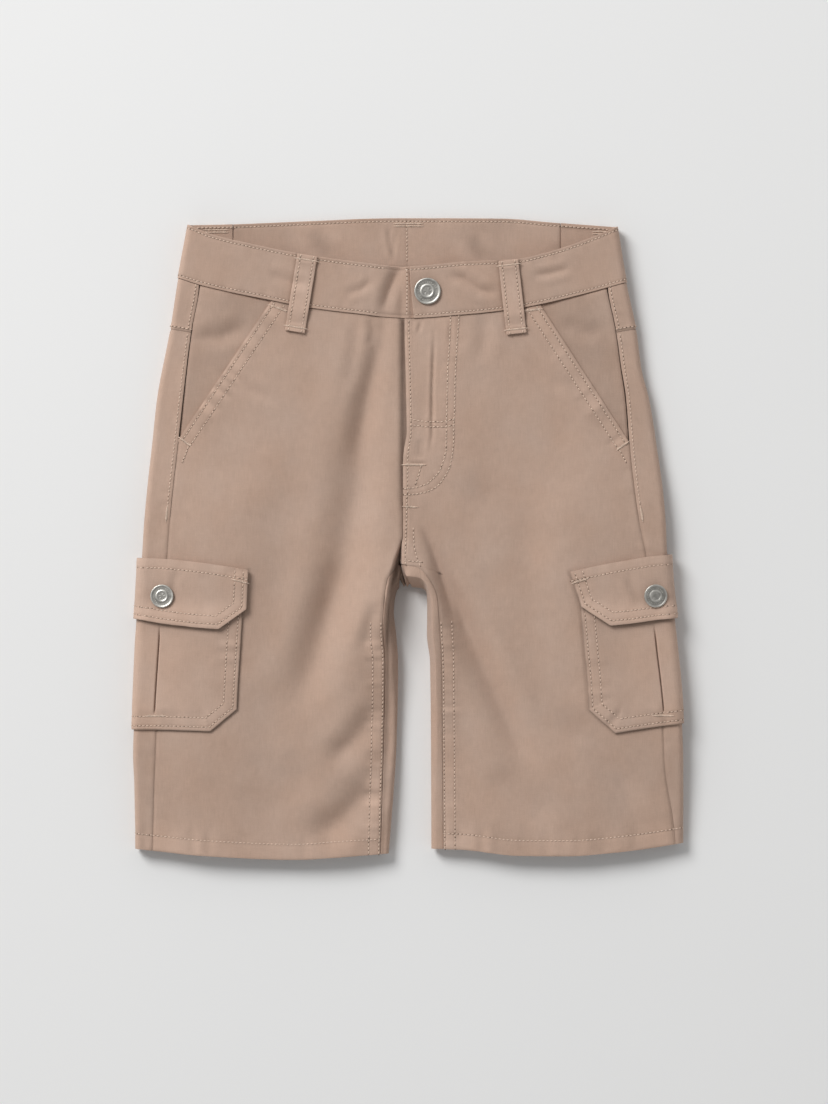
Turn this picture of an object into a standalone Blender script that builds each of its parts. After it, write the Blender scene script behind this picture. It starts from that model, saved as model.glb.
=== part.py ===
"""Child's cargo shorts laid flat, front up. Every sewn piece is its own thin wall.

Left and right are the wearer's: the wearer's left is +X, the waist is +Y and the floor is z = 0.
Lengths are in millimetres until a mesh is made. "Side" is -1 for the right half and +1 for the left.
"""

import math

import bpy
import numpy as np

MM = 0.001
# The middle of the finished outline, which becomes the origin
MIDDLE_X, MIDDLE_Y = 0.14, 0.0
RIGHT, LEFT = -1, 1
SIDE_NAMES = {RIGHT: "right", LEFT: "left"}

# Walls
CLOTH = 1.0
BAND = 2.0
FLAP = 1.4
LOOP = 1.2

# Gaps: edge to edge at a seam, and face to face where one piece lies on another
SEAM_GAP = 0.3
LAYER_GAP = 0.4

# The flattened tube of the body and the legs: the height between the middles of its two layers at
# a fold, how far the top layer rises from there, and how far in from the fold it takes to rise
HOLLOW = 9.0
CROWN = 2.4
CROWN_REACH = 50.0
FOLD_RADIUS = 3.3
# Half a fold's length along the cloth. "s" below is the cloth's distance from the middle of a fold.
FOLD_CLOTH = math.pi / 2 * math.hypot(FOLD_RADIUS, HOLLOW / 2) / math.sqrt(2)
ROUND_FOLD = np.linspace(1, -1, 7) * FOLD_CLOTH
UNDER_POCKET_LIFT = CLOTH + FLAP + 2 * LAYER_GAP
UNDER_BAND_LIFT = LOOP + LAYER_GAP + (BAND - CLOTH) / 2
BAND_FOOT_Y, BAND_RAMP = 130.0, 34.0
POCKET_HIGH_Y, POCKET_LOW_Y, POCKET_RAMP = 70.0, -190.0, 62.0
POCKET_REACH, POCKET_FADE = 57.0, 38.0
FLATTER_AT_BAND = 0.85
GAP_CENTRE_X, GAP_TOP_Y, GAP_HALF = 3.0, -32.0, 10.0
# The seams that meet at the crotch prop the top layer up
CROTCH_X, CROTCH_Y, CROTCH_REACH_X, CROTCH_REACH_Y, CROTCH_RISE = -5.0, -54.0, 30.0, 60.0, 15.0

# The fly and the button stand, which run on under the overlap
FLY_STAND_X = 7.0
STAND_DIP_X, STAND_DIP_RUN, STAND_DIP_Y, STAND_DIP_RISE = -16.0, 10.0, 12.0, 10.0
BAND_OVERLAP_TOP_X, BAND_OVERLAP_BOTTOM_X = -2.9, -1.6
BAND_STAND_X = 26.0
BAND_DIP_RUN = 11.0
# Where the side fold meets the waistband's foot, how far it goes to the top, and the last flat column
BAND_FOLD_Y, BAND_FOLD_RUN, BAND_WRAP_S = 168.0, 34.0, 18.0

# The slant pockets: the opening's two ends on each front, and how far the facing runs on under it
SLANT = {RIGHT: ((-88.8, 152.7), (-147.5, 65.1)), LEFT: ((86.2, 150.4), (143.0, 62.7))}
FACING_UNDERLAP = 9.0
FACING_BOTTOM_Y = 58.0
FACING_OPEN, FACING_RISE = 2.0, 14.0
FACING_MIDDLE_Y = 120.0

# Side folds and side seams, both on the top layer. The fold is the middle of the wall.
SIDES = {
    RIGHT: ("y fold seam", (
        (204, -141.6, -133.4), (169, -148.1, -134.0), (136, -153.4, -139.5), (90, -162.1, -145.2),
        (62, -165.1, -148.3), (34, -168.1, -151.4), (9, -170.3, -153.9), (-13, -171.6, -155.4),
        (-50, -173.7, -157.8), (-90, -175.6, -160.2), (-124, -176.9, -162.3), (-140, -177.4, -163.0),
        (-160, -176.7, -163.9), (-207, -176.1, -165.2))),
    LEFT: ("y fold seam", (
        (203, 135.1, 126.0), (166, 141.2, 128.4), (136, 147.7, 134.5), (110, 151.2, 138.2),
        (90, 156.2, 141.1), (59, 161.2, 143.6), (28, 165.3, 147.0), (9, 166.8, 149.9),
        (-10, 167.6, 153.8), (-50, 171.0, 158.2), (-72, 173.1, 160.4), (-92, 175.2, 162.2),
        (-124, 177.4, 165.0), (-144, 178.1, 165.8), (-186, 178.3, 171.7), (-207, 178.3, 173.6))),
}

# The inner boundary of each back panel, a row for each place along it. "turn" is 0 on the floor
# layer, 0.5 at the fold and 1 on the top layer, so the crotch and the inseam wrap up to the front.
INNER_EDGES = {
    RIGHT: ("row edge_x edge_y edge_turn fold_x fold_y fold_turn", (
        (210, -0.2, 210, 0, -10, 210, 0), (0, -0.2, 0, 0, -10, 0, 0),
        (-10, -0.6, -14, 0, -10, -12, 0), (-16, -2.0, -31, 0.5, -9, -19, 0.05),
        (-21, -5.3, -16.9, 1, -5.8, -31, 0.5), (-27, -9.0, -20.8, 1, -7.4, -34, 0.5),
        (-35, -12.8, -26.5, 1, -8.6, -39, 0.5), (-47, -15.0, -41, 1, -9.4, -48, 0.5),
        (-62, -15.9, -60, 1, -8.0, -62, 0.5), (-80, -14.7, -80, 1, -6.7, -80, 0.5),
        (-130, -15.5, -130, 1, -7.6, -130, 0.5), (-207, -17.6, -207, 1, -13.0, -207, 0.5))),
    LEFT: ("row edge_x edge_y edge_turn fold_x fold_y fold_turn", (
        (210, 0.2, 210, 0, 10, 210, 0), (0, 0.2, 0, 0, 10, 0, 0),
        (-10, -0.1, -14, 0, 10, -12, 0), (-16, -0.7, -31, 0.5, 9, -19.5, 0.05),
        (-21, -4.0, -16.9, 1, 3, -31, 0.5), (-27, 5.0, -18.2, 1, 9, -31.6, 0.5),
        (-35, 12.2, -24.5, 1, 12.6, -35, 0.5), (-47, 18.8, -39, 1, 13.2, -45.5, 0.5),
        (-62, 20.4, -60, 1, 13.0, -62, 0.5), (-80, 21.6, -80, 1, 15.0, -80, 0.5),
        (-130, 22.3, -130, 1, 15.6, -130, 0.5), (-207, 23.0, -207, 1, 15.9, -207, 0.5))),
}

# The inner edge of each front above the crotch: fly or fly stand, then the centre seam
CENTRE_EDGES = {
    RIGHT: ("row x y", (
        (210, FLY_STAND_X, 210), (34, FLY_STAND_X, 34), (23, -3.3, 23), (2, -3.3, 2),
        (-10, -4.6, -9), (-16, -5.2, -13.2), (-21, -5.8, -16.2))),
    LEFT: ("row x y", (
        (210, -1.5, 210), (138, -2.0, 138), (102, -1.1, 102), (69, -0.6, 69), (57.6, -2.3, 57.6),
        (49, -3.0, 49), (2, -3.0, 2), (-10, -4.0, -9), (-16, -4.4, -13.5), (-21, -4.2, -16.2))),
}

# Curves across the garment
BACK_TOP = ("x y", ((-143, 203.3), (-118, 203.8), (-63, 206), (-9, 207.9), (60, 207.7), (94, 205.1),
                    (136, 202)))
BACK_WAIST = ("x y", ((-149, 168.8), (-120, 170.6), (0, 173.8), (110, 171), (142, 165.8)))
FRONT_TOP = ("x y", ((-142.6, 203.3), (-127.5, 196.9), (-100.6, 190.4), (-71.5, 184.5),
                     (-30.5, 178.6), (-3, 175.9), (35, 178.8), (71.7, 180.8), (87.9, 184.3),
                     (105.3, 189.6), (122.7, 196.2), (136.1, 202)))
FRONT_WAIST = ("x y", ((-149.1, 168.8), (-132.9, 163.5), (-89.8, 154.3), (-62.9, 149.1),
                       (-35.9, 145.7), (-1, 142.4), (34.5, 144.6), (62.4, 147.5), (77.4, 149.8),
                       (111.1, 157.4), (142, 165.9)))
HEM = ("x y", ((-177, -200.9), (-160.5, -202.6), (-134, -205.3), (-74.2, -207.9), (-30.5, -205.3),
               (-10, -203.8), (15.6, -201), (34.2, -201.4), (72, -205.3), (104, -205.5),
               (136.4, -203), (179, -197.1)))
# The yoke seam against the cloth's distance in from the side fold, positive on the top layer
YOKE_SEAM = ("s y", ((-150, 112), (-40, 130), (0, 135.6), (18, 133.2)))
HEM_ROW, HEM_START_ROW = -203.0, -150.0
YOKE_WRAP_Y, YOKE_WRAP_RUN, YOKE_MIDDLE_Y = 135.0, 33.0, 150.0
# Half the gap at the back's centre seam, and the s where each wrap reaches the floor layer
CENTRE_HALF_GAP, WRAP_END_S = 0.2, -22.0

# Rows that every front and back panel shares below the pockets' slant
SHARED_ROWS = (45, 34, 22, 2, -10, -16, -21, -27, -35, -47, -62, -80, -98, -114, -128, -150, -178, -203)
SLANT_END_ROW = 62.0
TOP_ROWS = 6
BACK_UPPER_ROWS = 4
# Below this row a front ends at the inseam; each row leaves its inner end level with the others
# over this share of its length
INSEAM_TOP_ROW, ROW_LEVEL_SHARE = -21.5, 0.35
FRONT_COLUMNS = (0, 0.045, 0.11, 0.2, 0.31, 0.43, 0.55, 0.67, 0.79, 0.9, 1.0)
FACING_COLUMNS = (0, 0.16, 0.4, 0.7, 1.0)
YOKE_BACK_COLUMNS, FLOOR_COLUMNS, FOLD_IN = 6, 7, 20.0
# A back panel's columns into its inner fold and out of it: shares of the way, and of the turn
TO_FOLD, FLOOR_TURN = (0.25, 0.12, 0.03, 0), (0, 0.33, 0.67, 1)
TO_EDGE, TOP_TURN = (0.07, 0.25, 0.5, 1), (0.33, 0.67, 1, 1)
# The back panels' upper rows spread up to the yoke, and follow the fold at this height
BACK_WRAP_RISE, BACK_FOLD_Y = 90.0, 90.0
# Rounds of settling x and y together where each depends on the other
SETTLE = 8

# Soft folds in the two fronts: from, to, half width and depth
FOLDS = ("x0 y0 x1 y1 width depth", (
    (-18, 128, -33, 44, 11.5, 3.6), (-38, 4, -67, -92, 11.5, 4.0), (-22, -47, -30, -75, 6, 1.0),
    (10, 8, 36, -52, 8, 3.6), (45, -72, 80, -146, 8, 3.2), (-12, -52, -11, -150, 15, 4.6), (96, -112, 154, -176, 9, 2.0),
    (36, 46, 92, -18, 11, 1.6), (-24, -164, -60, -196, 7, 2.0), (-24, -122, -48, -146, 5, 1.6)))

# Cargo flaps and pockets: each column runs from (s_top, y_top) to (s_bottom, y_bottom), where s is
# the cloth's distance in from the side fold, positive on the top layer
FLAPS = {
    RIGHT: ("s s_top y_top s_bottom y_bottom", (
        (71.8, 71.7, -20.3, 71.9, -45.7), (55.1, 55.1, -17.6, 55.1, -58.4), (37.1, 37.1, -15.2, 37.1, -57),
        (17.1, 17.1, -13.3, 17.1, -54.6), (0, 0, -12.8, 0, -51.8), (-28.1, -28.1, -12.6, -28.1, -52),
        (-44.1, -44.1, -12.6, -44.1, -40))),
    LEFT: ("s s_top y_top s_bottom y_bottom", (
        (65.1, 66.6, -21.5, 61.3, -44.3), (45.1, 47.1, -17.5, 43.7, -56.2), (31.1, 31.1, -14.5, 31.1, -55),
        (13.1, 13.1, -11.6, 13.1, -52.6), (0, 0, -10.6, 0, -51.6), (-35.1, -35.1, -10.2, -35.1, -51.6),
        (-52.1, -52.1, -10.2, -50.1, -40))),
}
POCKETS = {
    RIGHT: ("s s_top y_top s_bottom y_bottom", (
        (69.3, 69.9, -29, 68.8, -110.4), (52.4, 53.1, -26, 52.4, -124.5), (17.1, 17.1, -24, 17.1, -123.4),
        (0, 0, -24, 0, -123.6), (-26.1, -26.1, -24, -26.1, -123.6), (-43.1, -43.1, -24, -43.1, -110))),
    LEFT: ("s s_top y_top s_bottom y_bottom", (
        (62.1, 61.5, -29, 62.4, -110.4), (46.1, 46.1, -26, 46.3, -125.5), (17.1, 16.1, -23, 18.1, -121.5),
        (0, 0, -23, 0, -119.5), (-33.1, -33.1, -22, -33.1, -119.5), (-50.1, -50.1, -22, -50.1, -106))),
}
PLEAT_S = {RIGHT: 16.5, LEFT: 14.7}
PLEAT_HALF_MOUTH, PLEAT_SLOPE, PLEAT_DEPTH = 1.4, 0.5, 1.2
PLEAT_TOP_Y, PLEAT_FULL_Y, PLEAT_FOOT_Y, PLEAT_END_Y = -60.0, -74.0, -104.0, -114.0
PLEAT_SPREAD = 34.0
PLEAT_COLUMNS = (10.0, 22.0)
POCKET_ROWS, FLAP_ROWS = 9, 4

# Belt loops on the front: the middle of each end. Those on the back: the middle and the foot.
LOOP_WIDTH = 13.0
FRONT_LOOPS = {RIGHT: ((-64.8, 183.0), (-72.9, 133.6)), LEFT: ((65.0, 179.7), (70.4, 132.3))}
BACK_LOOPS = {"right": -124.5, "centre": 0.5, "left": 118.0}
BACK_LOOP_FOOT_Y = 160.0
BACK_SEAM_X = {RIGHT: -113.5, LEFT: 99.5}
LOOP_ON_BAND_REACH, LOOP_ON_BAND_RUN, LOOP_BELOW_TOP = 9.0, 6.0, 0.5

# Buttons: place, diameter
WAIST_BUTTON = (12.8, 159.9, 17.2)
FLAP_BUTTONS = {RIGHT: (-158.2, -37.2, 15.0), LEFT: (159.7, -36.9, 15.0)}
BUTTON_STEPS = 22
# A button's outline from its middle: share of its radius, and height
BUTTON_PROFILE = ("radius height", (
    (0, 1.5), (0.36, 1.5), (0.42, 1.9), (0.50, 1.9), (0.56, 1.5), (0.84, 1.5), (0.90, 2.0),
    (0.97, 1.9), (1.0, 1.3), (1.0, 0.4), (0.92, 0.0), (0, 0.0)))
NORMAL_STEP = 0.5

CLOTH_COLOUR = (0.47, 0.33, 0.25, 1)
METAL_COLOUR = (0.60, 0.57, 0.52, 1)


def read(table, name, at):
    """One named column of a table as a smooth monotone curve over its first column."""
    names, rows = table
    data = np.array(sorted(rows), float)
    xs, ys = data[:, 0], data[:, names.split().index(name)]
    step = np.diff(xs)
    slope = np.diff(ys) / step
    before, after = slope[:-1], slope[1:]
    same_way = before * after > 0
    tangent = np.empty_like(ys)
    tangent[0], tangent[-1] = slope[0], slope[-1]
    mean = 2 * before * after / np.where(same_way, before + after, 1)
    tangent[1:-1] = np.where(same_way, mean, 0)
    at = np.clip(np.asarray(at, float), xs[0], xs[-1])
    i = np.clip(np.searchsorted(xs, at) - 1, 0, len(step) - 1)
    t = (at - xs[i]) / step[i]
    rise = (3 - 2 * t) * t * t
    return (ys[i] + (ys[i + 1] - ys[i]) * rise
            + step[i] * t * (1 - t) * ((1 - t) * tangent[i] - t * tangent[i + 1]))


def smooth(t):
    t = np.clip(t, 0, 1)
    return t * t * (3 - 2 * t)


def fold_x(side, y):
    return read(SIDES[side], "fold", y)


def in_from_fold(side, x, y):
    """Distance in from the side fold, whichever side the point is on."""
    return side * (fold_x(side, y) - x)


def outer_distance(x, y):
    return np.minimum(in_from_fold(RIGHT, x, y), in_from_fold(LEFT, x, y))


def floor_z(x, y):
    """Middle of the back layer. It lies on the floor, or on the pockets, flaps and belt loops."""
    d = outer_distance(x, y)
    beside_pocket = smooth((POCKET_HIGH_Y - y) / POCKET_RAMP) * smooth((y - POCKET_LOW_Y) / POCKET_RAMP)
    beside_pocket = beside_pocket * (1 - smooth((d - POCKET_REACH) / POCKET_FADE))
    under_band = smooth((y - BAND_FOOT_Y) / BAND_RAMP)
    return CLOTH / 2 + UNDER_POCKET_LIFT * beside_pocket + UNDER_BAND_LIFT * under_band


def crown(x, y):
    """How far the top layer rises between the folds."""
    to_gap = np.hypot(x - GAP_CENTRE_X, np.maximum(y - GAP_TOP_Y, 0)) - GAP_HALF
    d = np.minimum(outer_distance(x, y), to_gap)
    at_band = smooth((y - BAND_FOOT_Y) / BAND_RAMP)
    crotch = ((x - CROTCH_X) / CROTCH_REACH_X) ** 2 + ((y - CROTCH_Y) / CROTCH_REACH_Y) ** 2
    rise = CROWN * (1 - FLATTER_AT_BAND * at_band) * smooth((d - FOLD_RADIUS) / CROWN_REACH)
    return rise + CROTCH_RISE * np.exp(-crotch)


def soft_folds(x, y):
    drop = np.zeros(np.broadcast(x, y).shape)
    for x0, y0, x1, y1, width, depth in FOLDS[1]:
        run_x, run_y = x1 - x0, y1 - y0
        along = np.clip(((x - x0) * run_x + (y - y0) * run_y) / (run_x**2 + run_y**2), 0, 1)
        away = np.hypot(x - x0 - along * run_x, y - y0 - along * run_y)
        drop += depth * np.exp(-((away / width) ** 2))
    return drop


def top_z(x, y):
    """Middle of the top layer."""
    return floor_z(x, y) + HOLLOW + crown(x, y) - soft_folds(x, y)


def turned_z(x, y, turn):
    """Height on the way round a fold, from the floor layer at 0 to the top layer at 1."""
    share = 0.5 + 0.5 * np.sin((turn - 0.5) * np.pi)
    return floor_z(x, y) + share * HOLLOW + turn**4 * (top_z(x, y) - floor_z(x, y) - HOLLOW)


def side_surface(side, s, y):
    """The body's own surface by the cloth's distance s from the side fold, positive on the top."""
    s, y = np.broadcast_arrays(np.asarray(s, float), np.asarray(y, float))
    angle = np.clip(s / FOLD_CLOTH, -1, 1) * np.pi / 2
    beyond = np.maximum(np.abs(s) - FOLD_CLOTH, 0)
    d = FOLD_RADIUS * (1 - np.cos(angle)) + beyond
    x = fold_x(side, y) - side * d
    return np.stack([x, y, turned_z(x, y, 0.5 + angle / np.pi)], -1)


def side_distance(side, x, y):
    """The s of a point on the top layer."""
    return in_from_fold(side, x, y) - FOLD_RADIUS + FOLD_CLOTH


def moved_out(side, s, y, out):
    """The same surface moved outwards along its normal."""
    step = NORMAL_STEP
    along_s = side_surface(side, s + step, y) - side_surface(side, s - step, y)
    along_y = side_surface(side, s, y + step) - side_surface(side, s, y - step)
    normal = np.cross(along_s, along_y) * -side
    normal /= np.linalg.norm(normal, axis=-1, keepdims=True)
    return side_surface(side, s, y) + normal * np.asarray(out)[..., None]


def hem_shift(points):
    """Brings the last rows down to the hem's curve."""
    points = points.copy()
    share = smooth((HEM_START_ROW - points[..., 1]) / (HEM_START_ROW - HEM_ROW))
    points[..., 1] += (read(HEM, "y", points[..., 0]) - HEM_ROW) * share
    return points


def material(name, colour, roughness, metallic):
    made = bpy.data.materials.new(name)
    made.use_nodes = True
    shader = made.node_tree.nodes["Principled BSDF"]
    shader.inputs["Base Color"].default_value = colour
    shader.inputs["Roughness"].default_value = roughness
    shader.inputs["Metallic"].default_value = metallic
    made.diffuse_color = colour
    return made


def cloth_piece(name, points, wall, faces_up=True):
    """A wall of cloth about a grid of points on its middle."""
    rows, columns = points.shape[:2]
    flat = ((points - [MIDDLE_X, MIDDLE_Y, 0]) * MM).reshape(-1, 3)
    first = (np.arange(rows - 1)[:, None] * columns + np.arange(columns - 1)).reshape(-1)
    quads = np.stack([first, first + 1, first + columns + 1, first + columns], 1)
    if not faces_up:
        quads = quads[:, ::-1]
    mesh = bpy.data.meshes.new(name)
    mesh.from_pydata(flat.tolist(), [], quads.tolist())
    mesh.shade_smooth()
    piece = bpy.data.objects.new(name, mesh)
    shell = piece.modifiers.new("wall", "SOLIDIFY")
    shell.thickness = wall * MM
    shell.offset = 0
    mesh.materials.append(material(name, CLOTH_COLOUR, 0.85, 0.0))
    garment.objects.link(piece)
    return piece


def slant_x(side, y):
    (x0, y0), (x1, y1) = SLANT[side]
    return x0 + (y - y0) * (x1 - x0) / (y1 - y0)


def front_panel(side):
    """From the fly, the centre seam and the inseam out to the slant opening and the side seam."""
    across = np.array(FRONT_COLUMNS)
    upper = np.linspace(1, 0, TOP_ROWS + 1)[:-1]
    waist = float(read(FRONT_WAIST, "y", BAND_OVERLAP_TOP_X)) - SEAM_GAP
    rows = []
    for share in upper:
        row = SLANT_END_ROW + share * (waist - SLANT_END_ROW)
        start = float(read(CENTRE_EDGES[side], "x", row))
        x = np.full(len(across), start)
        for _ in range(SETTLE):
            y = SLANT_END_ROW + share * (read(FRONT_WAIST, "y", x) - SEAM_GAP - SLANT_END_ROW)
            x = start + (slant_x(side, y) - start) * across
        rows.append(np.stack([x, y], -1))
    for row in (SLANT_END_ROW, *SHARED_ROWS):
        table = CENTRE_EDGES[side]
        start_x, start_y = float(read(table, "x", row)), float(read(table, "y", row))
        if row < INSEAM_TOP_ROW:
            edge = INNER_EDGES[side]
            start_x = float(read(edge, "edge_x", row)) + side * SEAM_GAP
            start_y = float(read(edge, "edge_y", row))
        end_x = read(SIDES[side], "seam", row)
        x = start_x + (end_x - start_x) * across
        y = row + (start_y - row) * (1 - smooth(across / ROW_LEVEL_SHARE))
        rows.append(np.stack([x, y], -1))
    plan = np.array(rows)
    x, y = plan[..., 0], plan[..., 1]
    z = top_z(x, y)
    if side == RIGHT:
        dip = smooth((x - STAND_DIP_X) / STAND_DIP_RUN) * smooth((y - STAND_DIP_Y) / STAND_DIP_RISE)
        z = z - (CLOTH + LAYER_GAP) * dip
    points = hem_shift(np.stack([x, y, z], -1))
    return cloth_piece(f"front_panel_{SIDE_NAMES[side]}", points, CLOTH, side == RIGHT)


def hip_facing(side):
    """Between the slant opening and the side seam, running on a little under the front."""
    shares = np.array(FACING_COLUMNS)
    rows = []
    for share in np.linspace(1, 0, 5):
        x = np.full(len(shares), slant_x(side, FACING_MIDDLE_Y))
        for _ in range(SETTLE):
            y = FACING_BOTTOM_Y + share * (read(FRONT_WAIST, "y", x) - SEAM_GAP - FACING_BOTTOM_Y)
            under = slant_x(side, y) - side * FACING_UNDERLAP
            seam = read(SIDES[side], "seam", y) - side * SEAM_GAP
            x = under + (seam - under) * shares
        past_slant = side * (x - slant_x(side, y))
        under_front = 1 - smooth((past_slant - FACING_OPEN) / FACING_RISE)
        z = top_z(x, y) - (CLOTH + LAYER_GAP) * under_front
        rows.append(np.stack([x, y, z], -1))
    name = f"hip_facing_{SIDE_NAMES[side]}"
    return cloth_piece(name, np.array(rows), CLOTH, side == RIGHT)


def wrap_columns(side, y):
    """The s of a back panel's columns, from the side seam round the fold to the floor layer."""
    seam = side_distance(side, float(read(SIDES[side], "seam", y)) + side * SEAM_GAP, y)
    return np.concatenate([[seam, (seam + FOLD_CLOTH) / 2], ROUND_FOLD, [WRAP_END_S]])


def back_yoke(side):
    """From the side seam on the front, round the fold and across the back to the centre seam."""
    rows = []
    for share in np.linspace(1, 0, 4):
        wrap = wrap_columns(side, YOKE_WRAP_Y + share * YOKE_WRAP_RUN)
        half = abs(float(fold_x(side, YOKE_MIDDLE_Y)))
        centre = -(half - CENTRE_HALF_GAP - FOLD_RADIUS + FOLD_CLOTH)
        s = np.concatenate([wrap, np.linspace(wrap[-1], centre, YOKE_BACK_COLUMNS)[1:]])
        y = np.full(len(s), YOKE_MIDDLE_Y)
        for _ in range(SETTLE):
            x = side_surface(side, s, y)[:, 0]
            waist = np.where(s > 0, read(FRONT_WAIST, "y", x), read(BACK_WAIST, "y", x)) - SEAM_GAP
            y = read(YOKE_SEAM, "y", s) + share * (waist - read(YOKE_SEAM, "y", s))
        points = side_surface(side, s, y)
        points[-1, 0] = side * CENTRE_HALF_GAP
        rows.append(points)
    return cloth_piece(f"back_yoke_{SIDE_NAMES[side]}", np.array(rows), CLOTH, side == LEFT)


def back_panel(side):
    """From the side seam round the fold, across the floor layer, and up round the inner fold."""
    table = INNER_EDGES[side]
    to_fold, floor_turn = np.array(TO_FOLD), np.array(FLOOR_TURN)
    to_edge, top_turn = np.array(TO_EDGE), np.array(TOP_TURN)
    first = SHARED_ROWS[0]
    rows = []
    for k in range(BACK_UPPER_ROWS + len(SHARED_ROWS)):
        row = SHARED_ROWS[k - BACK_UPPER_ROWS] if k >= BACK_UPPER_ROWS else first
        share = max(0, 1 - k / BACK_UPPER_ROWS)
        inner = {name: float(read(table, name, row)) for name in table[0].split()}
        wrap_s = wrap_columns(side, row + share * BACK_WRAP_RISE)
        wrap = side_surface(side, wrap_s, np.full(len(wrap_s), float(row)))
        join_x = inner["fold_x"] + side * FOLD_IN
        floor_x = np.linspace(wrap[-1, 0], join_x, FLOOR_COLUMNS)[1:]
        near_x = inner["fold_x"] + (join_x - inner["fold_x"]) * to_fold
        near_y = inner["fold_y"] + (row - inner["fold_y"]) * to_fold
        near_turn = inner["fold_turn"] * floor_turn
        far_x = inner["fold_x"] + (inner["edge_x"] - inner["fold_x"]) * to_edge
        far_y = inner["fold_y"] + (inner["edge_y"] - inner["fold_y"]) * to_edge
        far_turn = inner["fold_turn"] + (inner["edge_turn"] - inner["fold_turn"]) * top_turn
        x = np.concatenate([floor_x, near_x, far_x])
        y = np.concatenate([np.full(len(floor_x), float(row)), near_y, far_y])
        turn = np.concatenate([np.zeros(len(floor_x)), near_turn, far_turn])
        if share:
            in_from = side * (fold_x(side, BACK_FOLD_Y) - x)
            s = np.concatenate([wrap_s, FOLD_RADIUS - FOLD_CLOTH - in_from])
            seam_y = read(YOKE_SEAM, "y", s) - SEAM_GAP
            lifted = first + share * (seam_y - first)
            wrap = side_surface(side, wrap_s, lifted[: len(wrap_s)])
            y = lifted[len(wrap_s):]
        rest = np.stack([x, y, turned_z(x, y, turn)], -1)
        rows.append(np.concatenate([wrap, rest]))
    points = hem_shift(np.array(rows))
    return cloth_piece(f"back_panel_{SIDE_NAMES[side]}", points, CLOTH, side == LEFT)


def waistband_front(side):
    """From the overlap or the button stand, round the side fold, to its seam on the back."""
    rows = []
    for share in (1, 0.5, 0):
        if side == RIGHT:
            end_x = BAND_STAND_X
        else:
            end_x = BAND_OVERLAP_BOTTOM_X + share * (BAND_OVERLAP_TOP_X - BAND_OVERLAP_BOTTOM_X)
        fold = BAND_FOLD_Y + share * BAND_FOLD_RUN
        start = float(side_distance(side, end_x, fold))
        last = -float(side_distance(side, BACK_SEAM_X[side], fold))
        on_floor = np.linspace(-FOLD_CLOTH, last, 4)[1:]
        s = np.concatenate([np.linspace(start, BAND_WRAP_S, 13), ROUND_FOLD, on_floor])
        y = np.full(len(s), fold)
        for _ in range(SETTLE):
            x = side_surface(side, s, y)[:, 0]
            x[0] = end_x
            low = np.where(s > 0, read(FRONT_WAIST, "y", x), read(BACK_WAIST, "y", x))
            high = np.where(s > 0, read(FRONT_TOP, "y", x), read(BACK_TOP, "y", x))
            y = low + share * (high - low)
        points = side_surface(side, s, y)
        if side == RIGHT:
            dip = smooth((x - STAND_DIP_X) / BAND_DIP_RUN) * (s > 0)
            points[:, 2] -= (BAND + LAYER_GAP) * dip
        points[0, 0] = end_x
        points[-1, 0] = BACK_SEAM_X[side]
        rows.append(points)
    return cloth_piece(f"waistband_{SIDE_NAMES[side]}", np.array(rows), BAND, side == RIGHT)


def waistband_back():
    x = np.linspace(BACK_SEAM_X[RIGHT] + SEAM_GAP, BACK_SEAM_X[LEFT] - SEAM_GAP, 15)
    rows = []
    for share in (1, 0.5, 0):
        y = read(BACK_WAIST, "y", x) + share * (read(BACK_TOP, "y", x) - read(BACK_WAIST, "y", x))
        rows.append(np.stack([x, y, floor_z(x, y)], -1))
    return cloth_piece("waistband_back", np.array(rows), BAND, False)


def belt_loop_front(side):
    (x0, y0), (x1, y1) = FRONT_LOOPS[side]
    along = np.array([x1 - x0, y1 - y0]) / math.hypot(x1 - x0, y1 - y0)
    across = np.array([-along[1], along[0]])
    rows = []
    for share in np.linspace(0, 1, 8):
        middle = np.array([x0 + share * (x1 - x0), y0 + share * (y1 - y0)])
        plan = middle + np.outer(np.array([0.5, 0, -0.5]) * LOOP_WIDTH, across)
        x, y = plan[:, 0], plan[:, 1]
        above_waist = y - read(FRONT_WAIST, "y", x)
        on_band = smooth((above_waist + LOOP_ON_BAND_REACH) / LOOP_ON_BAND_RUN)
        under = CLOTH / 2 + (BAND - CLOTH) / 2 * on_band
        rows.append(np.stack([x, y, top_z(x, y) + under + LAYER_GAP + LOOP / 2], -1))
    return cloth_piece(f"belt_loop_front_{SIDE_NAMES[side]}", np.array(rows), LOOP)


def belt_loop_back(name, x_middle):
    top = float(read(BACK_TOP, "y", x_middle)) - LOOP_BELOW_TOP
    x, y = np.meshgrid(x_middle + np.array([-0.5, 0.5]) * LOOP_WIDTH,
                       np.linspace(top, BACK_LOOP_FOOT_Y, 4))
    points = np.stack([x, y, np.full(x.shape, LOOP / 2)], -1)
    return cloth_piece(f"belt_loop_back_{name}", points, LOOP)


def side_columns(table, side_s):
    """A flap's or pocket's columns at the table's own s, round the fold, and where asked."""
    own = [row[0] for row in table[1]]
    middle = [0.0 if abs(s) < 0.01 else s for s in ROUND_FOLD.tolist()]
    return np.array(sorted({*own, *middle, *side_s}, reverse=True))


def side_grid(table, s, shares):
    """s and y over a flap or a pocket, its columns joined top to bottom."""
    top_s, bottom_s = read(table, "s_top", s), read(table, "s_bottom", s)
    top_y, bottom_y = read(table, "y_top", s), np.interp(s, *straight(table, "y_bottom"))
    shares = shares[:, None]
    return top_s + shares * (bottom_s - top_s), top_y + shares * (bottom_y - top_y)


def straight(table, name):
    """A table's first column and a named one, in rising order."""
    data = np.array(sorted(table[1]), float)
    return data[:, 0], data[:, table[0].split().index(name)]


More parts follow.
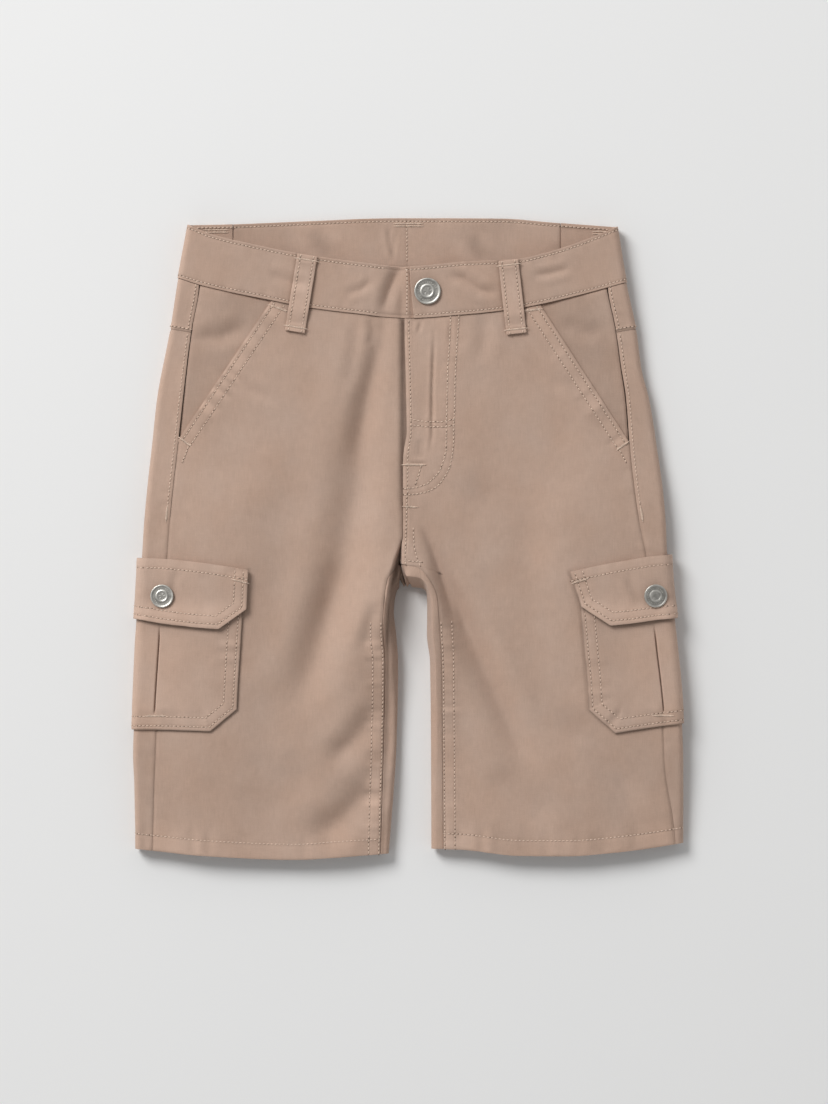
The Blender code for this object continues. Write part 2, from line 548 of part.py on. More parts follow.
def cargo_flap(side):
    s, y = side_grid(FLAPS[side], side_columns(FLAPS[side], ()), np.linspace(0, 1, FLAP_ROWS))
    out = np.full(s.shape, CLOTH / 2 + LAYER_GAP + CLOTH + LAYER_GAP + FLAP / 2)
    points = moved_out(side, s, y, out)
    return cloth_piece(f"cargo_flap_{SIDE_NAMES[side]}", points, FLAP, side == LEFT)


def pleat_out(side, s, y):
    """How far a cargo pocket stands off: it bulges round the pleat and dips into its groove."""
    away = np.abs(s - PLEAT_S[side])
    length = smooth((PLEAT_TOP_Y - y) / (PLEAT_TOP_Y - PLEAT_FULL_Y))
    length = length * smooth((y - PLEAT_END_Y) / (PLEAT_FOOT_Y - PLEAT_END_Y))
    groove = 1 - smooth((away - PLEAT_HALF_MOUTH) / PLEAT_SLOPE)
    spread = 1 - smooth((away - PLEAT_HALF_MOUTH - PLEAT_SLOPE) / PLEAT_SPREAD)
    return CLOTH + LAYER_GAP + PLEAT_DEPTH * length * (spread - groove)


def cargo_pocket(side):
    mouth = PLEAT_HALF_MOUTH
    lip = mouth + PLEAT_SLOPE
    beyond = [lip + step for step in PLEAT_COLUMNS]
    near = [PLEAT_S[side] + step for step in (-lip, -mouth, mouth, lip, *beyond)]
    columns = side_columns(POCKETS[side], near)
    in_pleat = np.abs(columns - PLEAT_S[side]) < lip - 0.01
    at_mouth = np.abs(np.abs(columns - PLEAT_S[side]) - mouth) < 0.01
    s, y = side_grid(POCKETS[side], columns[~in_pleat | at_mouth], np.linspace(0, 1, POCKET_ROWS))
    points = moved_out(side, s, y, pleat_out(side, s, y))
    return cloth_piece(f"cargo_pocket_{SIDE_NAMES[side]}", points, CLOTH, side == LEFT)


def button(name, place, tilt, diameter):
    """A turned cap: raised rim, flat ring, inner ring and flat middle."""
    edge = diameter / 2
    mesh = bpy.data.meshes.new(name)
    points = [(share * edge * MM, 0, z * MM) for share, z in BUTTON_PROFILE[1]]
    mesh.from_pydata(points, [(i, i + 1) for i in range(len(points) - 1)], [])
    made = bpy.data.objects.new(name, mesh)
    turn = made.modifiers.new("turn", "SCREW")
    turn.steps = turn.render_steps = BUTTON_STEPS
    turn.use_merge_vertices = True
    turn.merge_threshold = 0.00001
    turn.use_smooth_shade = True
    made.location = [(v - middle) * MM for v, middle in zip(place, (MIDDLE_X, MIDDLE_Y, 0))]
    made.rotation_euler = tilt
    mesh.materials.append(material(name, METAL_COLOUR, 0.35, 1.0))
    garment.objects.link(made)
    return made


def waist_button():
    x, y, diameter = WAIST_BUTTON
    z = float(top_z(x, y)) + BAND / 2 + LAYER_GAP
    button("waist_button", (x, y, z), (0, 0, 0), diameter)


def flap_button(side):
    x, y, diameter = FLAP_BUTTONS[side]
    s = float(side_distance(side, x, y))
    out = CLOTH / 2 + 2 * (CLOTH + LAYER_GAP) - CLOTH + FLAP + LAYER_GAP
    place = moved_out(side, np.array(s), np.array(y), np.array(out))
    normal = place - side_surface(side, s, y)
    lean = (-math.atan2(normal[1], normal[2]), math.atan2(normal[0], normal[2]), 0)
    button(f"flap_button_{SIDE_NAMES[side]}", place, lean, diameter)


for old in list(bpy.data.objects):
    bpy.data.objects.remove(old)
garment = bpy.data.collections.new("cargo_shorts")
bpy.context.scene.collection.children.link(garment)

for half in (RIGHT, LEFT):
    front_panel(half)
    hip_facing(half)
    back_yoke(half)
    back_panel(half)
    waistband_front(half)
    belt_loop_front(half)
    cargo_pocket(half)
    cargo_flap(half)
    flap_button(half)
waistband_back()
for loop_name, loop_x in BACK_LOOPS.items():
    belt_loop_back(loop_name, loop_x)
waist_button()
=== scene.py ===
import math

import bpy
import numpy as np
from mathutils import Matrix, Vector


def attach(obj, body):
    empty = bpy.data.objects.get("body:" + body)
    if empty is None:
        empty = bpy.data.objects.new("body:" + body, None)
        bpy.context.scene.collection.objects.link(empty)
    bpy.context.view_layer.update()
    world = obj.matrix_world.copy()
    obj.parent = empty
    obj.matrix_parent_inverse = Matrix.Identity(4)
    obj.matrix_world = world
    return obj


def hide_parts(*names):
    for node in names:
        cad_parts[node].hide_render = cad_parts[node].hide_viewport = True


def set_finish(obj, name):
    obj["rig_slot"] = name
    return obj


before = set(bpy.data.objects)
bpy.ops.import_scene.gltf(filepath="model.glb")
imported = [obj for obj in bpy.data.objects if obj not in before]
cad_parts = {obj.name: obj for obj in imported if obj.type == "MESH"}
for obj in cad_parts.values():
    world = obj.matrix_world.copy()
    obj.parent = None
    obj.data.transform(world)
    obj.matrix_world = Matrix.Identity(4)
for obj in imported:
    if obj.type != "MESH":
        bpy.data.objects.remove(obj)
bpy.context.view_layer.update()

# Child's cargo shorts laid flat, front up. Lengths are millimetres until a mesh is made.
# right and left are the wearer's: +X is the wearer's left, +Y the waist, z = 0 the floor.
mm = 0.001
right, left = -1, 1
sideNames = {right: "right", left: "left"}
middleX = 0.14  # the tables' own origin lies this far right of the frame's

body = {
    "cloth": 1.0, "seamGap": 0.3, "layerGap": 0.4,
    "hollow": 9.0,            # between the middles of the two layers at a fold
    "crotch": (-5.0, -54.0, 30.0, 60.0, 15.0),   # where the crotch seams prop the top up: x, y, reaches, rise
    "crown": 2.4, "crownReach": 50.0,
    "foldRadius": 3.3,
    "waviness": ((44.0, 0.85, 3), (17.0, 0.30, 5), (7.5, 0.09, 8)),   # spacing, height, seed
}
foldCloth = math.pi / 2 * math.hypot(body["foldRadius"], body["hollow"] / 2) / math.sqrt(2)

# Side folds and side seams on the top layer, then the inner boundary of each leg
sides = {
    right: ("y fold seam", (
        (204, -141.6, -133.4), (169, -148.1, -134.0), (136, -153.4, -139.5), (90, -162.1, -145.2),
        (62, -165.1, -148.3), (34, -168.1, -151.4), (9, -170.3, -153.9), (-13, -171.6, -155.4),
        (-50, -173.7, -157.8), (-90, -175.6, -160.2), (-124, -176.9, -162.3), (-140, -177.4, -163.0),
        (-160, -176.7, -163.9), (-207, -176.1, -165.2))),
    left: ("y fold seam", (
        (203, 135.1, 126.0), (166, 141.2, 128.4), (136, 147.7, 134.5), (110, 151.2, 138.2),
        (90, 156.2, 141.1), (59, 161.2, 143.6), (28, 165.3, 147.0), (9, 166.8, 149.9),
        (-10, 167.6, 153.8), (-50, 171.0, 158.2), (-72, 173.1, 160.4), (-92, 175.2, 162.2),
        (-124, 177.4, 165.0), (-144, 178.1, 165.8), (-186, 178.3, 171.7), (-207, 178.3, 173.6))),
}
innerEdges = {
    right: ("row edgeX edgeY edgeTurn foldX foldY foldTurn", (
        (210, -0.2, 210, 0, -10, 210, 0), (0, -0.2, 0, 0, -10, 0, 0),
        (-10, -0.6, -14, 0, -10, -12, 0), (-16, -2.0, -31, 0.5, -9, -19, 0.05),
        (-21, -5.3, -16.9, 1, -5.8, -31, 0.5), (-27, -9.0, -20.8, 1, -7.4, -34, 0.5),
        (-35, -12.8, -26.5, 1, -8.6, -39, 0.5), (-47, -15.0, -41, 1, -9.4, -48, 0.5),
        (-62, -15.9, -60, 1, -8.0, -62, 0.5), (-80, -14.7, -80, 1, -6.7, -80, 0.5),
        (-130, -15.5, -130, 1, -7.6, -130, 0.5), (-207, -17.6, -207, 1, -13.0, -207, 0.5))),
    left: ("row edgeX edgeY edgeTurn foldX foldY foldTurn", (
        (210, 0.2, 210, 0, 10, 210, 0), (0, 0.2, 0, 0, 10, 0, 0),
        (-10, -0.1, -14, 0, 10, -12, 0), (-16, -0.7, -31, 0.5, 9, -19.5, 0.05),
        (-21, -4.0, -16.9, 1, 3, -31, 0.5), (-27, 5.0, -18.2, 1, 9, -31.6, 0.5),
        (-35, 12.2, -24.5, 1, 12.6, -35, 0.5), (-47, 18.8, -39, 1, 13.2, -45.5, 0.5),
        (-62, 20.4, -60, 1, 13.0, -62, 0.5), (-80, 21.6, -80, 1, 15.0, -80, 0.5),
        (-130, 22.3, -130, 1, 15.6, -130, 0.5), (-207, 23.0, -207, 1, 15.9, -207, 0.5))),
}
# The inner edge of each front: fly or fly stand, centre seam, crotch, inseam
frontEdges = {
    right: ("row x y", (
        (210, 7, 210), (34, 7, 34), (23, -3.3, 23), (2, -3.3, 2), (-10, -4.6, -9),
        (-16, -5.2, -13.2), (-21, -5.8, -16.2), (-27, -9.3, -20.8), (-35, -13.1, -26.5),
        (-47, -15.3, -41), (-62, -16.2, -60), (-80, -15.0, -80), (-130, -15.8, -130),
        (-207, -17.9, -207))),
    left: ("row x y", (
        (210, -1.5, 210), (138, -2.0, 138), (102, -1.1, 102), (69, -0.6, 69), (57.6, -2.3, 57.6),
        (49, -3.0, 49), (2, -3.0, 2), (-10, -4.0, -9), (-16, -4.4, -13.5), (-21, -4.2, -16.2),
        (-27, 5.3, -18.2), (-35, 12.5, -24.5), (-47, 19.1, -39), (-62, 20.7, -60),
        (-80, 21.9, -80), (-130, 22.6, -130), (-207, 23.3, -207))),
}
backTop = ("x y", ((-143, 203.3), (-118, 203.8), (-63, 206), (-9, 207.9), (60, 207.7), (94, 205.1),
                   (136, 202)))
backWaist = ("x y", ((-149, 168.8), (-120, 170.6), (0, 173.8), (110, 171), (142, 165.8)))
frontTop = ("x y", ((-142.6, 203.3), (-127.5, 196.9), (-100.6, 190.4), (-71.5, 184.5),
                    (-30.5, 178.6), (-3, 175.9), (35, 178.8), (71.7, 180.8), (87.9, 184.3),
                    (105.3, 189.6), (122.7, 196.2), (136.1, 202)))
frontWaist = ("x y", ((-149.1, 168.8), (-132.9, 163.5), (-89.8, 154.3), (-62.9, 149.1),
                      (-35.9, 145.7), (-1, 142.4), (34.5, 144.6), (62.4, 147.5), (77.4, 149.8),
                      (111.1, 157.4), (142, 165.9)))
hem = ("x y", ((-177, -200.9), (-160.5, -202.6), (-134, -205.3), (-74.2, -207.9), (-30.5, -205.3),
               (-10, -203.8), (15.6, -201), (34.2, -201.4), (72, -205.3), (104, -205.5),
               (136.4, -203), (179, -197.1)))
yokeSeam = ("s y", ((-150, 112), (-40, 130), (0, 135.6), (18, 133.2)))
slants = {right: ((-88.8, 152.7), (-147.5, 65.1)), left: ((86.2, 150.4), (143.0, 62.7))}
hemRow, hemStartRow, slantEndRow, upperBackRow = -203.0, -150.0, 62.0, 45.0

# Creases pressed or slept into the fronts: way, half width, depth, and the lip beside each.
# A negative depth is a ridge.
creases = {
    "right thigh": (((-13, 150), (-17, 138), (-20, 120), (-28, 72), (-35, 23), (-42, -16), (-52, -55),
                     (-65, -92), (-76, -120)), 11.5, 4.6, 1.3),
    "right thigh low": (((-40, -8), (-47, -34), (-57, -66), (-67, -98), (-74, -118)), 10.0, 2.6, 0.8),
    "right thigh top": (((-14, 160), (-16, 144), (-20, 120), (-26, 94), (-31, 66), (-35, 40)),
                        5.5, 1.7, 0.8),
    "right thigh short": (((-21, -40), (-23, -50), (-26, -60), (-30, -76)), 4.0, 1.2, 0.5),
    "left crotch": (((9.7, 10), (24.3, -29), (39.2, -60), (53.9, -94), (68, -124), (88, -160)),
                    8.0, 5.4, 1.4),
    "left crotch deep": (((8.5, 14), (14, -3), (24, -29), (33, -50), (44, -74)), 4.6, 1.2, 0.5),
    "left crotch fold": (((6.7, 13.5), (11.3, 2.9), (16.7, -9.7), (21.9, -28.3), (25.3, -40.2),
                          (28.6, -51.5), (29.9, -66)), 2.2, 1.4, 0.5),
    "left crotch roll": (((8, -8), (12, -20), (18, -34), (20, -44), (22, -60)), 3.2, -1.4, 0.0),
    "right inner leg": (((-14, -36), (-12, -56), (-10.5, -80), (-10.5, -110), (-12, -160)), 15.0, 6.0, 0.8),
    "right shin": (((-18, -152), (-28, -166), (-42, -181), (-66, -198)), 9.0, 3.6, 0.9),
    "right knee": (((-18, -104), (-26, -118), (-36, -132), (-54, -148)), 7.0, 2.9, 0.8),
    "right knee soft": (((-60, -140), (-80, -160), (-98, -186)), 12.0, 0.9, 0.3),
    "left shin": (((90, -106), (118, -130), (140, -156), (156, -180)), 10.0, 3.6, 0.9),
    "left knee": (((52, -146), (70, -166), (98, -188)), 10.0, 2.0, 0.4),
    "left thigh": (((36, 46), (52, 24), (74, 2), (92, -18)), 11.0, 2.0, 0.6),
    "left thigh long": (((60, 88), (66, 50), (82, 10), (90, -40)), 16.0, 1.2, 0.2),
    "right hip": (((-124, 92), (-112, 58), (-108, 26)), 13.0, 1.0, 0.2),
    "right hip short": (((-122, 112), (-102, 97), (-84, 86)), 3.6, 0.9, 0.4),
    "right facing": (((-142, 131), (-122, 130), (-100, 139)), 5.0, 1.5, 0.5),
    "left hip": (((104, 92), (98, 52), (101, 18)), 14.0, 1.0, 0.2),
    "left hip short": (((74, 120), (90, 104), (104, 92)), 3.6, 0.7, 0.3),
    "left facing": (((98, 142), (112, 134), (128, 132)), 4.6, 1.1, 0.4),
    "right waist gather": (((-34, 145), (-33, 128), (-36, 110), (-42, 92)), 4.0, 0.9, 0.4),
    "right waist gather short": (((-24, 145), (-23, 134), (-25, 122)), 2.4, 0.7, 0.3),
    "left waist gather": (((48, 146), (50, 130), (46, 112)), 4.5, 0.9, 0.4),
    "band right of button": (((25, 172), (36, 168), (46, 161), (60, 157)), 3.0, 1.7, 0.7),
    "band left end": (((79, 170), (90, 171), (107, 175)), 2.4, 1.0, 0.5),
    "band right end": (((-92, 173), (-76, 166), (-62, 163)), 3.0, 0.9, 0.4),
    "band gather": (((-5, 180), (-8, 170), (-13, 158), (-17, 144)), 3.4, 1.9, 0.6),
    "band gather short": (((-22, 168), (-30, 161), (-42, 158)), 2.6, 0.9, 0.3),
}
# Creases in the fly, cut by the zip tape and the guard below it
flyCreases = {
    "tape": (((17.1, 139), (16.7, 128), (15.6, 95), (15.4, 66), (14.4, 60), (13.2, 50)), 1.1, 0.85, 0.25),
    "tape foot": (((0, 48.9), (7, 49.0), (14, 49.2)), 0.9, 0.5, 0.2),
    "short": (((8.0, 141), (7.6, 137), (6.0, 132)), 1.3, 0.4, 0.2),
    "shoulder": (((27.5, 141), (27.2, 132), (26.8, 124)), 1.4, 0.4, 0.1),
    "guard": (((8.5, 66), (7, 58), (8, 50)), 2.6, 0.3, 0.1),
}


def read(table, name, at):
    # one named column of a table as a smooth monotone curve over its first column
    names, rows = table
    data = np.array(sorted(rows), float)
    xs, ys = data[:, 0], data[:, names.split().index(name)]
    step = np.diff(xs)
    slope = np.diff(ys) / step
    before, after = slope[:-1], slope[1:]
    sameWay = before * after > 0
    tangent = np.empty_like(ys)
    tangent[0], tangent[-1] = slope[0], slope[-1]
    tangent[1:-1] = np.where(sameWay, 2 * before * after / np.where(sameWay, before + after, 1), 0)
    at = np.clip(np.asarray(at, float), xs[0], xs[-1])
    i = np.clip(np.searchsorted(xs, at) - 1, 0, len(step) - 1)
    t = (at - xs[i]) / step[i]
    rise = (3 - 2 * t) * t * t
    return (ys[i] + (ys[i + 1] - ys[i]) * rise
            + step[i] * t * (1 - t) * ((1 - t) * tangent[i] - t * tangent[i + 1]))


def smooth(t):
    # 0 to 1 with level ends: 3 t squared less 2 t cubed
    t = np.clip(t, 0, 1)
    return t * t * (3 - 2 * t)


def bell(away, width):
    # 1 on a line and falling off beside it: e to the minus square of distance over width
    return np.exp(-((away / width) ** 2))


def asGrid(u, v):
    # two places, numbers or arrays, as float arrays of one shape
    return np.broadcast_arrays(np.asarray(u, float), np.asarray(v, float))


def wander(at, spacing, seed):
    # seeded heights from -1 to 1 every spacing along a line, joined by smooth steps
    knots = np.random.default_rng(seed).uniform(-1, 1, 997)
    t = np.asarray(at, float) / spacing
    i = np.floor(t).astype(int)
    share = smooth(t - i)
    return knots[i % 997] * (1 - share) + knots[(i + 1) % 997] * share


def undulate(x, y, spacing, seed):
    # the same over a plane: seeded heights on a square lattice, turned a little, joined smoothly
    knots = np.random.default_rng(seed).uniform(-1, 1, (97, 97))
    u, v = (0.88 * x + 0.47 * y) / spacing, (0.88 * y - 0.47 * x) / spacing
    i, j = np.floor(u).astype(int), np.floor(v).astype(int)
    p, q = smooth(u - i), smooth(v - j)
    i0, i1, j0, j1 = i % 97, (i + 1) % 97, j % 97, (j + 1) % 97
    return ((knots[i0, j0] * (1 - p) + knots[i1, j0] * p) * (1 - q)
            + (knots[i0, j1] * (1 - p) + knots[i1, j1] * p) * q)


def nearPath(x, y, path):
    # distance from each point to a chain of straight runs, the length walked to the nearest
    # place on it, and the whole length
    away, walked, total = np.full(np.shape(x), 1e9), np.zeros(np.shape(x)), 0.0
    for (x0, y0), (x1, y1) in zip(path[:-1], path[1:]):
        runX, runY = x1 - x0, y1 - y0
        length = math.hypot(runX, runY)
        share = np.clip(((x - x0) * runX + (y - y0) * runY) / length**2, 0, 1)
        off = np.hypot(x - x0 - share * runX, y - y0 - share * runY)
        nearer = off < away
        away = np.where(nearer, off, away)
        walked = np.where(nearer, total + share * length, walked)
        total += length
    return away, walked, total


def creased(x, y, table):
    # a trough along each way: depth times a bell of the distance from it, less a lip two widths
    # away, and every one fades in over its first third and out over its last
    drop = np.zeros(np.shape(x))
    for way, width, depth, lip in table.values():
        away, walked, total = nearPath(x, y, way)
        ends = smooth(np.minimum(walked, total - walked) / (0.3 * total))
        drop += ends * (depth * bell(away, width) - lip * bell(away - 2.0 * width, width))
    return drop


def foldX(side, y):
    # where the side fold lies on the outline
    return read(sides[side], "fold", y)


def inFromFold(side, x, y):
    return side * (foldX(side, y) - x)


def outerDistance(x, y):
    return np.minimum(inFromFold(right, x, y), inFromFold(left, x, y))


def floorZ(x, y):
    # middle of the back layer: half a cloth up, more where a pocket, flap or belt loop lies below it
    d = outerDistance(x, y)
    besidePocket = smooth((70 - y) / 62) * smooth((y + 190) / 62) * (1 - smooth((d - 57) / 38))
    underBand = smooth((y - 130) / 34)
    return 0.5 + 3.2 * besidePocket + 2.1 * underBand


def crown(x, y):
    # rise of the top layer between the folds and round the gap between the legs
    toGap = np.hypot(x - 3.0, np.maximum(y + 32.0, 0)) - 10.0
    d = np.minimum(outerDistance(x, y), toGap)
    atBand = smooth((y - 130) / 34)
    x0, y0, reachX, reachY, rise = body["crotch"]
    propped = rise * np.exp(-(((x - x0) / reachX) ** 2) - ((y - y0) / reachY) ** 2)
    rounded = smooth((d - body["foldRadius"]) / body["crownReach"])
    return body["crown"] * (1 - 0.85 * atBand) * rounded + propped


# The right front rolls over beside the centre seam and the inseam, and the cloth past this line
# lies lower by its depth
roll = {
    "line": ("y x depth", (
        (210, -2.2, 0), (12, -2.6, 0), (3, -3.6, 1.2), (-6, -6.6, 4.6), (-16, -9.9, 7.4),
        (-26, -12.3, 8.2), (-36, -13.9, 8.2), (-47, -15.4, 7.6), (-62, -16.3, 5.4),
        (-80, -15.3, 3.2), (-130, -16.1, 1.8), (-207, -18.2, 1.0))),
    "width": 2.6,                # the fall's own width
    "strip": (-4.4, 1.6),        # the stitched strip at the centre seam stays up: its x, and the step's width
    "stripFoot": (-21, 5),       # down to this y, over this length
    "end": (-4.0, 4.0),          # left of the seam the cloth comes back up: from x, over a width
}


def crotchDip(x, y):
    # depth times a smooth step past the line, less the strip and what lies past the end
    start, depth = read(roll["line"], "x", y), read(roll["line"], "depth", y)
    (stripX, stripStep), (footY, footStep), (endX, endStep) = roll["strip"], roll["stripFoot"], roll["end"]
    strip = 1 - smooth((x - stripX) / stripStep) * smooth((y - footY) / footStep)
    return depth * smooth((x - start) / roll["width"]) * strip * (1 - smooth((x - endX) / endStep))


def topZ(x, y):
    # middle of the top layer: floor, hollow and crown, less the creases, and a little waviness
    inner = smooth(outerDistance(x, y) / 14)
    wavy = sum(height * undulate(x, y, spacing, seed) for spacing, height, seed in body["waviness"])
    dented = inner * (wavy - creased(x, y, creases))
    return floorZ(x, y) + body["hollow"] + crown(x, y) + dented - crotchDip(x, y)


def turnedZ(x, y, turn):
    # height on the way round a fold, from the floor layer at 0 to the top layer at 1: half a sine
    # of the turn takes the hollow, and its fourth power what the top has over it
    share = 0.5 + 0.5 * np.sin((turn - 0.5) * np.pi)
    low = floorZ(x, y)
    return low + share * body["hollow"] + turn**4 * (topZ(x, y) - low - body["hollow"])


def sideSurface(side, s, y):
    # the body's surface by the cloth's distance s from the side fold, positive on the top layer:
    # a quarter turn each way round the fold, then flat
    s, y = asGrid(s, y)
    angle = np.clip(s / foldCloth, -1, 1) * np.pi / 2
    beyond = np.maximum(np.abs(s) - foldCloth, 0)
    x = foldX(side, y) - side * (body["foldRadius"] * (1 - np.cos(angle)) + beyond)
    return np.stack([x, y, turnedZ(x, y, 0.5 + angle / np.pi)], -1)


def sideDistance(side, x, y):
    # the cloth's distance from the side fold to a place on the flat part of the top layer
    return inFromFold(side, x, y) - body["foldRadius"] + foldCloth


def hemShift(y, x):
    # brings the last rows down to the hem's curve
    return y + (read(hem, "y", x) - hemRow) * smooth((hemStartRow - y) / (hemStartRow - hemRow))


def outward(place, u, v, turn):
    # unit normal of a surface by small steps along its two directions
    alongU = place(u + 0.35, v) - place(u - 0.35, v)
    alongV = place(u, v + 0.35) - place(u, v - 0.35)
    normal = np.cross(alongU, alongV) * turn
    return normal / np.linalg.norm(normal, axis=-1, keepdims=True)


def moved(place, turn, out):
    # the same surface moved out along its normal by a distance, or by one worked out from (u, v)
    def there(u, v):
        u, v = asGrid(u, v)
        far = out(u, v) if callable(out) else np.full(u.shape, float(out))
        return place(u, v) + outward(place, u, v, turn) * far[..., None]
    return there


# How a sewn edge looks: rows of stitches in from the edge, the swell of the cloth folded under it,
# the pinch at each row, the ladder of small puckers and how far they reach past the last row
seamLooks = {
    "open": dict(rows=(2.5, 8.6), swell=0.16, pinch=0.24, pucker=0.5, spacing=3.4, reach=5.0, roll=0.25),
    "felled": dict(rows=(1.1, 7.6), swell=0.20, pinch=0.24, pucker=0.5, spacing=3.6, reach=4.0, roll=0.35),
    "single": dict(rows=(2.1,), swell=0.22, pinch=0.18, pucker=0.18, spacing=3.8, reach=4.0, roll=0.35),
    "plain": dict(rows=(), swell=0.0, pinch=0.0, pucker=0.16, spacing=4.2, reach=6.0, roll=0.45),
    "fly": dict(rows=(2.8,), swell=0.3, pinch=0.22, pucker=0.16, spacing=3.4, reach=3.0, roll=0.3),
    "hem": dict(rows=(10.0,), swell=0.12, pinch=0.30, pucker=0.42, spacing=5.2, reach=6.0, roll=0.1),
    "band": dict(rows=(2.1,), swell=0.0, pinch=0.26, pucker=0.16, spacing=4.6, reach=5.0, roll=0.0),
    "flapTop": dict(rows=(6.0,), swell=0.2, pinch=0.26, pucker=0.14, spacing=4.0, reach=4.0, roll=0.1),
    "flap": dict(rows=(3.0, 8.2), swell=0.14, pinch=0.24, pucker=0.34, spacing=4.2, reach=4.0, roll=0.1),
    "pocket": dict(rows=(2.5, 8.5), swell=0.16, pinch=0.24, pucker=0.5, spacing=4.4, reach=6.0, roll=0.1),
}


def seamed(away, walked, look, seed):
    # height of a sewn edge over the plain cloth, by the distance in from it and the way along it:
    # the swell, less a bell at each row, plus seeded puckers, less the roll at the very edge
    last = max(look["rows"], default=0.0)
    height = look["swell"] * (1 - smooth((away - last - 0.4) / 1.8))
    for row in look["rows"]:
        height = height - look["pinch"] * bell(away - row, 0.8)
    fade = bell(np.maximum(away - last, 0), look["reach"]) * smooth(away / 1.2)
    strength = 0.65 + 0.35 * wander(walked, 23.0, seed + 40)
    height = height + look["pucker"] * strength * fade * wander(walked, look["spacing"], seed)
    return height - look["roll"] * (1 - smooth(away / 1.6))


def dense(path, step):
    # a path with points at even steps along it
    path = np.asarray(path, float)
    walked = np.concatenate([[0], np.cumsum(np.hypot(*np.diff(path, axis=0).T))])
    at = np.linspace(0, walked[-1], max(2, int(round(walked[-1] / step)) + 1))
    return np.stack([np.interp(at, walked, path[:, 0]), np.interp(at, walked, path[:, 1])], 1)


def beside(path, distance):
    # a path moved to its left by a distance, mitred at the corners
    path = np.asarray(path, float)
    run = np.diff(path, axis=0)
    run /= np.linalg.norm(run, axis=1, keepdims=True)
    normal = np.stack([-run[:, 1], run[:, 0]], 1)
    ends = np.concatenate([normal[:1], normal[:-1] + normal[1:], normal[-1:]])
    ends /= np.linalg.norm(ends, axis=1, keepdims=True)
    facing = np.concatenate([normal[:1], normal])
    return path + ends * (distance / np.maximum((ends * facing).sum(1), 0.5))[:, None]


def crowded(count, ends=0.6):
    # shares from 0 to 1, closer together towards both ends: t less a part of sin(2 pi t)
    t = np.linspace(0, 1, count)
    return t - ends * np.sin(2 * np.pi * t) / (2 * np.pi)


# Materials. Cloth patterns read the piece's own map, which holds the flat cloth in millimetres.
def node(tree, kind, sockets=(), **settings):
    made = tree.nodes.new(kind)
    for name, value in settings.items():
        setattr(made, name, value)
    for socket, value in dict(sockets).items():
        if isinstance(value, bpy.types.NodeSocket):
            tree.links.new(value, made.inputs[socket])
        else:
            made.inputs[socket].default_value = value
    return made


def calc(tree, operation, a, b=0.0, c=0.0):
    return node(tree, "ShaderNodeMath", {0: a, 1: b, 2: c}, operation=operation).outputs[0]


def noise(tree, vector, stretch, detail, roughness=0.55):
    # Blender's noise about zero, with the vector stretched first
    scaled = node(tree, "ShaderNodeVectorMath", {0: vector, 1: stretch}, operation="MULTIPLY")
    made = node(tree, "ShaderNodeTexNoise", {"Vector": scaled.outputs[0], "Scale": 1.0,
                                             "Detail": detail, "Roughness": roughness})
    return calc(tree, "SUBTRACT", made.outputs["Fac"], 0.5)


def paint(tree, shader, colour, shade):
    # base colour = a colour times a shade
    scaled = node(tree, "ShaderNodeVectorMath", {0: colour, "Scale": shade}, operation="SCALE")
    tree.links.new(scaled.outputs[0], shader.inputs["Base Color"])


def emboss(tree, shader, height, strength, distance):
    bump = node(tree, "ShaderNodeBump", {"Strength": strength, "Distance": distance, "Height": height})
    tree.links.new(bump.outputs[0], shader.inputs["Normal"])


def bands(tree, vector, scale, distortion, direction, **more):
    # Blender's wave of straight bands, from 0 to 1
    sockets = {"Vector": vector, "Scale": scale, "Distortion": distortion, **more}
    wave = node(tree, "ShaderNodeTexWave", sockets, wave_type="BANDS", bands_direction=direction)
    return wave.outputs["Fac"]


def blank(name, colour):
    # a material with its tree and its shader
    material = bpy.data.materials.new(name)
    material.use_nodes = True
    material.diffuse_color = (*colour, 1)
    tree = material.node_tree
    return material, tree, tree.nodes["Principled BSDF"]


twillLook = {
    "warm": (0.500, 0.342, 0.260), "cool": (0.484, 0.349, 0.277),
    "ribs": 0.805,           # twill lines, about 0.55 mm apart
    "yarn": 0.72,            # yarns, about 0.44 mm apart
    # the wear strength sets how far the wear attribute, real wear and painted shade, moves the colour
    "mottle": 0.16, "slub": 0.24, "fleck": 0.26, "ribShade": 0.12, "wearAndShadeStrength": 0.18,
    "bump": 0.00009, "bumpStrength": 0.55,
    "sheen": 0.22, "sheenRoughness": 0.45, "sheenTint": (0.95, 0.88, 0.82, 1), "shine": 0.22,
}


